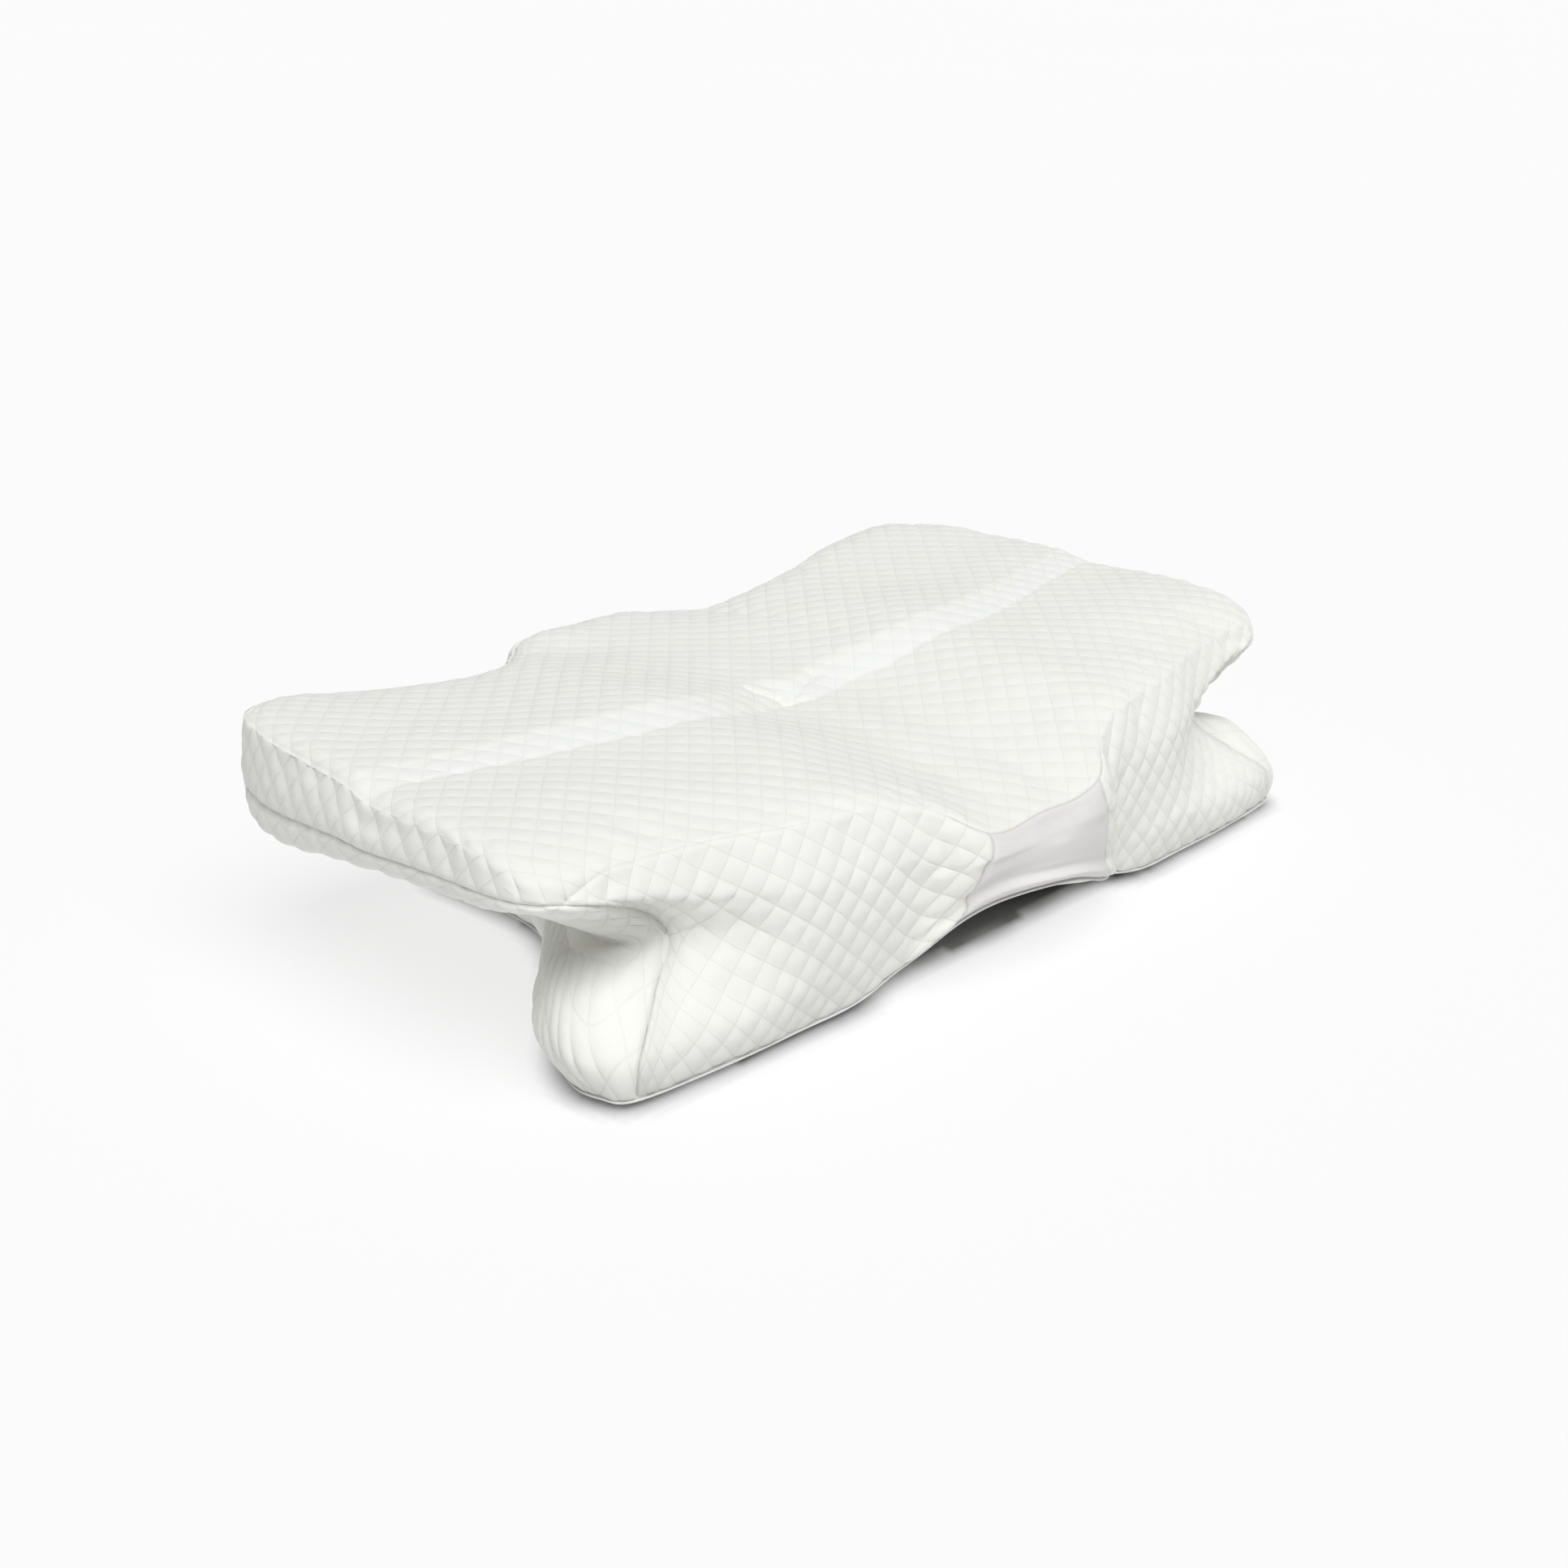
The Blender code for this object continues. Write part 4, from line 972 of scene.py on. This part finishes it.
def plain_knit(name, colour, second):
    """Smooth single-jersey knit without quilting."""
    tree = Tree(name, colour, 0.85, sheen=0.1)
    uv = tree.uv()
    knit = knit_height(tree, uv, 16.0)
    cloud = tree.noise(11.0, 3.0)
    fuzz = tree.noise(1100.0, 2.0)
    normal = tree.bump(tree.math("MULTIPLY_ADD", fuzz, 0.6, knit), 0.0001)
    roughness = tree.ramp(fuzz, 0.2, 0.8, 0.78, 0.92)
    # Painted shade along the seams, from the 'seam' attribute.
    seam = tree.add("Attribute", attribute_name="seam").outputs["Fac"]
    plain = tree.mix(cloud, colour, second)
    colour = tree.mix(tree.math("MULTIPLY", seam, 0.6), plain, (0.45, 0.44, 0.42))
    return tree.finish(colour, roughness, normal)


def jersey():
    tree = Tree("liner_jersey", (0.80, 0.80, 0.79), 0.9, sheen=0.1)
    parts = tree.add("SeparateXYZ", {0: tree.place()}).outputs
    ribs = tree.math("SINE", tree.math("MULTIPLY", tree.math("ADD", parts[0], parts[1]), 5200.0))
    fuzz = tree.noise(700.0, 2.0)
    colour = tree.mix(tree.noise(14.0), (0.78, 0.78, 0.765), (0.82, 0.82, 0.81))
    return tree.finish(colour, tree.ramp(fuzz, 0.2, 0.8, 0.82, 0.95), tree.bump(ribs, 0.00008))


def memory_foam():
    tree = Tree("memory_foam", (0.80, 0.74, 0.58), 0.95)
    pores = tree.add("TexVoronoi", {"Scale": 900.0, "Vector": tree.place()}).outputs["Distance"]
    cloud = tree.noise(18.0, 3.0)
    colour = tree.mix(cloud, (0.78, 0.71, 0.54), (0.84, 0.79, 0.64))
    roughness = tree.ramp(pores, 0.0, 0.6, 0.98, 0.86)
    return tree.finish(colour, roughness, tree.bump(pores, 0.0003))


def woven_tape(name, colour, second):
    tree = Tree(name, colour, 0.8, sheen=0.08)
    parts = tree.add("SeparateXYZ", {0: tree.place()}).outputs
    warp = tree.math("SINE", tree.math("MULTIPLY", parts[0], 2 * math.pi / (0.9 * MM)))
    weft = tree.math("SINE", tree.math("MULTIPLY", parts[2], 2 * math.pi / (0.7 * MM)))
    weave = tree.math("MULTIPLY", warp, weft)
    mixed = tree.mix(tree.noise(120.0, 3.0), colour, second)
    roughness = tree.ramp(weave, -1.0, 1.0, 0.7, 0.88)
    return tree.finish(mixed, roughness, tree.bump(weave, 0.0001))


def nylon(name, colour, second):
    tree = Tree(name, colour, 0.35)
    cloud = tree.noise(260.0, 2.0)
    roughness = tree.ramp(cloud, 0.2, 0.8, 0.28, 0.42)
    return tree.finish(tree.mix(cloud, colour, second), roughness, tree.bump(cloud, 0.00003))


def zip_metal():
    tree = Tree("zip_metal", (0.62, 0.62, 0.62), 0.3, metallic=1.0)
    grain = tree.noise(1400.0, 3.0)
    wear = tree.noise(160.0, 4.0, 0.6)
    colour = tree.mix(wear, (0.52, 0.52, 0.53), (0.70, 0.70, 0.69))
    return tree.finish(colour, tree.ramp(wear, 0.3, 0.7, 0.22, 0.42), tree.bump(grain, 0.00002))


def floor_material():
    tree = Tree("floor_painted_light_and_shadow", (0.2, 0.2, 0.2), 0.9)
    # Painted light: the floor's emission, which fades out next to and under the pillow as a painted shadow.
    glow_with_painted_shadow = tree.add("Attribute", attribute_name="glow_with_painted_shadow").outputs["Fac"]
    tree.shader.inputs["Emission Color"].default_value = (1.0, 1.0, 1.0, 1.0)
    tree.links.new(tree.math("MULTIPLY", glow_with_painted_shadow, FLOOR_GLOW), tree.shader.inputs["Emission Strength"])
    cloud = tree.noise(0.35, 2.0)
    return tree.finish(tree.mix(cloud, (0.197, 0.197, 0.197), (0.203, 0.203, 0.203)))


materials = {
    "quilted_knit": quilted_knit(),
    "plain_knit": plain_knit("plain_knit", (0.69, 0.678, 0.672), (0.715, 0.70, 0.695)),
    "base_knit": plain_knit("base_knit", (0.76, 0.76, 0.735), (0.79, 0.79, 0.77)),
    "seam_binding": woven_tape("seam_binding", (0.80, 0.80, 0.785), (0.84, 0.84, 0.82)),
    "liner_jersey": jersey(),
    "memory_foam": memory_foam(),
    "zip_tape": woven_tape("zip_tape", (0.76, 0.76, 0.74), (0.80, 0.80, 0.785)),
    "zip_coil": nylon("zip_coil", (0.80, 0.80, 0.78), (0.84, 0.84, 0.82)),
    "zip_metal": zip_metal(),
    "label_satin": woven_tape("label_satin", (0.86, 0.86, 0.86), (0.89, 0.89, 0.89)),
}


# ---------------------------------------------------------------- the cover
SEAM_DIP = 1.4 * MM
SEAM_WIDTH = 1.8 * MM
SEAM_LINE = 0.6 * MM
TOP_PUFF = 0.85 * MM
WALL_PUFF = 1.25 * MM
END_PUFF = 1.5 * MM
STAND_BACK = 0.4 * MM
LOWEST = 0.2 * MM

rows, places = skin_rows()
index = welded_index(ROW_COUNT, COLUMNS)
panels = face_panels()
marked = border_points(panels)
swell = cloth_swell(rows, marked)
normals = grid_normals(rows, index)
distance, nearest = seam_distance(rows, marked)
strength = seam_strength().ravel()[nearest]


FOLD_SHADE = 0.8
PUCKER = 0.35 * MM
PUCKER_LENGTH = 9 * MM
PUCKER_REACH = 7 * MM
SOFTNESS = 0.5 * MM
SOFT_LENGTH = 60 * MM
SEAM_REACH = 3.5 * MM


def seam_shade():
    """How much of the shadow in a seam, or deep in the fold over the arm space, each grid point has."""
    reach = np.abs(signed_station())
    in_fold = smooth_step((places - 3.3) / 0.9) * (1 - smooth_step((places - TAU_GROOVE) / 0.3))
    in_fold = in_fold * smooth_step((reach - 5.8) / 0.5) * smooth_step((12.0 - reach) / 3.0)
    return np.maximum(strength * bump(distance, SEAM_LINE), FOLD_SHADE * in_fold)


def cover_relief():
    """Outward movement of every grid point that all panels share: swell, seams, creases and softness."""
    dip = SEAM_DIP * strength * bump(distance, SEAM_WIDTH)
    seam_points = rows.reshape(-1, 3)[nearest]
    near_seam = strength * np.exp(-distance / PUCKER_REACH)
    pucker = PUCKER * ripples(seam_points, PUCKER_LENGTH, seed=3) * near_seam
    soft = SOFTNESS * ripples(rows, SOFT_LENGTH, seed=5)
    free = 1 - strength * np.exp(-distance / SEAM_REACH)
    level = swell + soft + pucker - dip - top_creases(rows) - groove_creases(rows) - STAND_BACK
    return level, free


def make_cover():
    level, free = cover_relief()
    top_cloth, wall_cloth, side_cloth = quilt_coordinates(rows)
    # Masks for painted light and shade: the band painted whiter, the seams and the fold over the arm space
    # painted dark.
    band = band_share(rows)
    seam = seam_shade()
    wall_puff = between((WALL_PUFF, END_PUFF), smooth_step((np.abs(signed_station()) - FOOT_SEAM) / 1.2))
    puff_height = between((wall_puff, TOP_PUFF), smooth_step((normals[..., 2] - 0.05) / 0.7))
    inner = rows - normals * PANEL_DEPTH
    for number, node in enumerate(PANELS):
        cloth = {SIDE_LEFT: side_cloth, SIDE_RIGHT: side_cloth, BACK: wall_cloth}.get(number, top_cloth)
        lines = diamond_lines(cloth)
        finish = {FRONT_CENTER: "plain_knit", BOTTOM: "base_knit"}.get(number, "quilted_knit")
        lift = puff(lines) * puff_height * free if finish == "quilted_knit" else 0.0
        outer = rows + normals * (lift + level)[..., None]
        if number == BOTTOM:
            outer = rows - normals * STAND_BACK
        outer[..., 2] = np.maximum(outer[..., 2], LOWEST)
        name = node.replace("_panel", "_cloth")
        piece, used = layer_piece(name, panels == number, index, outer, inner, BLOCK, materials[finish])
        add_cloth_data(piece, used, lines, band, seam)
        settle_in(piece, node)


def settle_in(piece, node, body="pillow"):
    """Turns the piece's faces outwards and puts it in the place of its CAD node."""
    fix_normals(piece)
    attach(piece, body)
    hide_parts(node)


def make_inside():
    """The foam core and the two halves of the liner, on every fourth line of the grid."""
    points, facing = rows[::BLOCK, ::BLOCK], normals[::BLOCK, ::BLOCK]
    coarse = welded_index(*points.shape[:2])
    on_base = panels[::BLOCK, ::BLOCK] == BOTTOM
    core_points = points - facing * CORE_DEPTH
    used, faces = grid_faces(coarse, np.ones(on_base.shape, bool))
    core = mesh_item("foam_core_shape", core_points.reshape(-1, 3)[used], faces, materials["memory_foam"])
    settle_in(core, "foam_core")
    outer = points - facing * LINER_DEPTH
    inner = points - facing * (LINER_DEPTH + LINER_THICKNESS)
    for node, chosen in (("liner_lower", on_base), ("liner_upper", ~on_base)):
        liner, _ = layer_piece(node + "_cloth", chosen, coarse, outer, inner, 1, materials["liner_jersey"])
        settle_in(liner, node)


# ---------------------------------------------------------------- binding, zip and label
BINDING_RADIUS = 0.5 * MM
BINDING_SIDES = 10
COIL_PITCH = 1.25 * MM
COIL_WIRE = 0.27 * MM
COIL_STEPS = 12
WIRE_SIDES = 6
TAPE_RIPPLE = 0.12 * MM
TAPE_WAVES = 17
STOP_ROUNDING = 0.3 * MM
METAL_ROUNDING = 0.2 * MM
TAPE_STEPS = (240, 8)
LABEL_LIFT = 1.0 * MM
LABEL_STEPS = (60, 40)
LABEL_STITCHES = 14
STITCH_DEPTH = 0.15 * MM
BINDING_OUT = 0.2


def tube(name, path, radius, sides, closed, material):
    """A round tube along a path of points, closed into a ring or capped at its ends."""
    path = np.asarray(path, float)
    if closed:
        tangent = np.roll(path, -1, axis=0) - np.roll(path, 1, axis=0)
    else:
        tangent = np.gradient(path, axis=0)
    tangent /= np.linalg.norm(tangent, axis=1, keepdims=True)
    across = np.cross(tangent, [0.0, 0.0, 1.0]) + 1e-9
    across /= np.linalg.norm(across, axis=1, keepdims=True)
    upward = np.cross(across, tangent)
    angle = 2 * math.pi * np.arange(sides) / sides
    ring = across[:, None] * np.cos(angle)[None, :, None] + upward[:, None] * np.sin(angle)[None, :, None]
    vertices = (path[:, None] + ring * radius).reshape(-1, 3)
    count = len(path)
    polygons = []
    for k in range(count if closed else count - 1):
        here, there = k * sides, (k + 1) % count * sides
        for side in range(sides):
            after = (side + 1) % sides
            polygons.append((here + side, here + after, there + after, there + side))
    if not closed:
        polygons.append(tuple(range(sides))[::-1])
        polygons.append(tuple(range((count - 1) * sides, count * sides)))
    return mesh_item(name, vertices.tolist(), polygons, material)


def make_binding():
    rail = rows[ROW_BASE]
    tangent = np.roll(rail, -1, axis=0) - np.roll(rail, 1, axis=0)
    side = np.column_stack([tangent[:, 1], -tangent[:, 0], np.zeros(COLUMNS)])
    side /= np.linalg.norm(side, axis=1, keepdims=True)
    path = rail + side * BINDING_RADIUS * BINDING_OUT
    piece = tube("base_binding_tape", path, BINDING_RADIUS, BINDING_SIDES, True, materials["seam_binding"])
    settle_in(piece, "base_seam_binding")


def coil_path(low, high):
    """The wire of a zip coil: a helix that fills its CAD node's box."""
    turns = round((high.x - low.x - 2 * COIL_WIRE) / COIL_PITCH)
    angle = 2 * math.pi * np.arange(turns * COIL_STEPS + 1) / COIL_STEPS
    middle = (low + high) / 2
    return np.column_stack([
        low.x + COIL_WIRE + (high.x - low.x - 2 * COIL_WIRE) * angle / angle[-1],
        middle.y + ((high.y - low.y) / 2 - COIL_WIRE) * np.sin(angle),
        middle.z + ((high.z - low.z) / 2 - COIL_WIRE) * np.cos(angle),
    ])


def strip(name, low, high, steps, lift, material):
    """A closed strip of cloth in the box from low to high, one face across y, moved along y by lift()."""
    along, up = steps
    x = low.x + (high.x - low.x) * np.arange(along + 1) / along
    z = low.z + (high.z - low.z) * np.arange(up + 1) / up
    grid_x, grid_z = np.meshgrid(x, z, indexing="ij")
    move = lift((grid_x - low.x) / (high.x - low.x), (grid_z - low.z) / (high.z - low.z))
    sides = [np.stack([grid_x, y + move, grid_z], axis=-1).reshape(-1, 3) for y in (high.y, low.y)]
    number = np.arange((along + 1) * (up + 1)).reshape(along + 1, up + 1)
    polygons = []
    for i in range(along):
        for k in range(up):
            face = [number[i, k], number[i, k + 1], number[i + 1, k + 1], number[i + 1, k]]
            polygons += [face, [corner + number.size for corner in face[::-1]]]
    outline = [*number[:, 0], *number[-1, 1:], *number[-2::-1, -1], *number[0, -2:0:-1]]
    for start, end in zip(outline, outline[1:] + outline[:1]):
        polygons.append([start, end, end + number.size, start + number.size])
    return mesh_item(name, np.vstack(sides).tolist(), polygons, material)


def make_zip():
    for side in ("upper", "lower"):
        low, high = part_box("zip_tape_" + side)
        tape = strip(
            "zip_tape_" + side + "_cloth", low, high, TAPE_STEPS,
            lambda along, up: TAPE_RIPPLE * np.sin(TAPE_WAVES * 2 * math.pi * along) * np.sin(math.pi * up),
            materials["zip_tape"],
        )
        settle_in(tape, "zip_tape_" + side)
        path = coil_path(*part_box("zip_coil_" + side))
        coil = tube("zip_coil_" + side + "_wire", path, COIL_WIRE, WIRE_SIDES, False, materials["zip_coil"])
        settle_in(coil, "zip_coil_" + side)
    for name, finish, width in (
        ("zip_closed_end_stop", "zip_coil", STOP_ROUNDING), ("zip_open_end_stop", "zip_coil", STOP_ROUNDING),
        ("zip_slider", "zip_metal", METAL_ROUNDING), ("zip_pull_tab", "zip_metal", METAL_ROUNDING),
    ):
        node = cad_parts[name]
        node.data.materials.clear()
        node.data.materials.append(materials[finish])
        rounding = node.modifiers.new("rounded_edges", "BEVEL")
        rounding.width = width
        rounding.segments = 2
        rounding.limit_method = "ANGLE"


def make_label():
    """A blank satin care label, sewn along its upper edge and lifting a little below."""
    low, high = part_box("care_label")

    def lift(along, up):
        free = 1 - smooth_step(up / 0.85)
        stitches = bump(up - 0.9, 0.05) * (0.6 + 0.4 * np.cos(2 * math.pi * along * LABEL_STITCHES))
        return LABEL_LIFT * free * (0.7 + 0.3 * np.sin(5 * along)) - STITCH_DEPTH * stitches

    label = strip("care_label_cloth", low, high, LABEL_STEPS, lift, materials["label_satin"])
    settle_in(label, "care_label")


make_cover()
make_inside()
make_binding()
make_zip()
make_label()


# ---------------------------------------------------------------- stage, light and camera
FLOOR_SIZE = 40.0
FLOOR_NEAR = 0.9
FLOOR_STEPS = 241
WORLD_STRENGTH = 0.2
SUN_STRENGTH = 3.1
SUN_ANGLE = math.radians(60)
TOWARD_SUN = (-0.17, -0.32, 0.76)
CAMERA_LENS = 54.04
CAMERA_PLACE = (-0.986, -0.908, 0.559)
CAMERA_PITCH = math.radians(20.7)
CAMERA_AZIMUTH = math.radians(47.1)


def make_floor():
    """A pale floor that glows a little, as a lit table does: painted light, with less glow next to and under
    the pillow as a painted shadow.
    """
    near = np.linspace(-FLOOR_NEAR, FLOOR_NEAR, FLOOR_STEPS)
    lines = np.concatenate([[-FLOOR_SIZE], near, [FLOOR_SIZE]])
    x, y = np.meshgrid(lines, lines, indexing="ij")
    outline = 0.5 * (rows[ROW_BASE, ::BLOCK, :2] + rows[ROW_CONTACT, ::BLOCK, :2])
    tree = KDTree(len(outline))
    for k, point in enumerate(outline):
        tree.insert((*point, 0.0), k)
    tree.balance()
    away = np.array([tree.find((px, py, 0.0))[2] for px, py in zip(x.ravel(), y.ravel())])
    away[inside_outline(x.ravel(), y.ravel(), outline)] *= -1.0
    number = np.arange(x.size).reshape(x.shape)
    corners = [number[:-1, :-1], number[1:, :-1], number[1:, 1:], number[:-1, 1:]]
    faces = np.stack([corner.ravel() for corner in corners], axis=1)
    vertices = np.column_stack([x.ravel(), y.ravel(), np.full(x.size, FLOOR_Z)])
    floor = mesh_item("floor", vertices.tolist(), faces.tolist(), floor_material())
    glow_with_painted_shadow = floor.data.attributes.new("glow_with_painted_shadow", "FLOAT", "POINT")
    # Painted shadow: the glow is nothing a little inside the pillow's outline and rises to full a few
    # centimetres outside it.
    glow_with_painted_shadow.data.foreach_set("value", smooth_step((away + GLOW_UNDER) / GLOW_FADE).astype(np.float32))


def inside_outline(x, y, outline):
    """Whether points lie inside a closed outline: counts how often a ray crosses it."""
    crossings = np.zeros(x.shape, int)
    for (start_x, start_y), (end_x, end_y) in zip(outline, np.roll(outline, -1, axis=0)):
        if start_y != end_y:
            spans = (start_y > y) != (end_y > y)
            meets = start_x + (y - start_y) * (end_x - start_x) / (end_y - start_y)
            crossings += spans & (x < meets)
    return crossings % 2 == 1


def make_light():
    world = bpy.data.worlds.new("studio")
    world.use_nodes = True
    background = world.node_tree.nodes["Background"]
    background.inputs["Color"].default_value = (1.0, 1.0, 1.0, 1.0)
    background.inputs["Strength"].default_value = WORLD_STRENGTH
    bpy.context.scene.world = world
    data = bpy.data.lights.new("soft_key", "SUN")
    data.energy = SUN_STRENGTH
    data.angle = SUN_ANGLE
    key = bpy.data.objects.new("soft_key", data)
    key.rotation_mode = "QUATERNION"
    key.rotation_quaternion = Vector(TOWARD_SUN).to_track_quat("Z", "Y")
    bpy.context.scene.collection.objects.link(key)


def make_camera():
    data = bpy.data.cameras.new("camera")
    data.sensor_width = 36.0
    data.lens = CAMERA_LENS
    camera = bpy.data.objects.new("camera", data)
    camera.location = CAMERA_PLACE
    level = math.cos(CAMERA_PITCH)
    forward = Vector((
        math.sin(CAMERA_AZIMUTH) * level, math.cos(CAMERA_AZIMUTH) * level, -math.sin(CAMERA_PITCH),
    ))
    camera.rotation_mode = "QUATERNION"
    camera.rotation_quaternion = forward.to_track_quat("-Z", "Y")
    bpy.context.scene.collection.objects.link(camera)
    bpy.context.scene.camera = camera


make_floor()
make_light()
make_camera()
bpy.context.scene.view_settings.view_transform = "Standard"
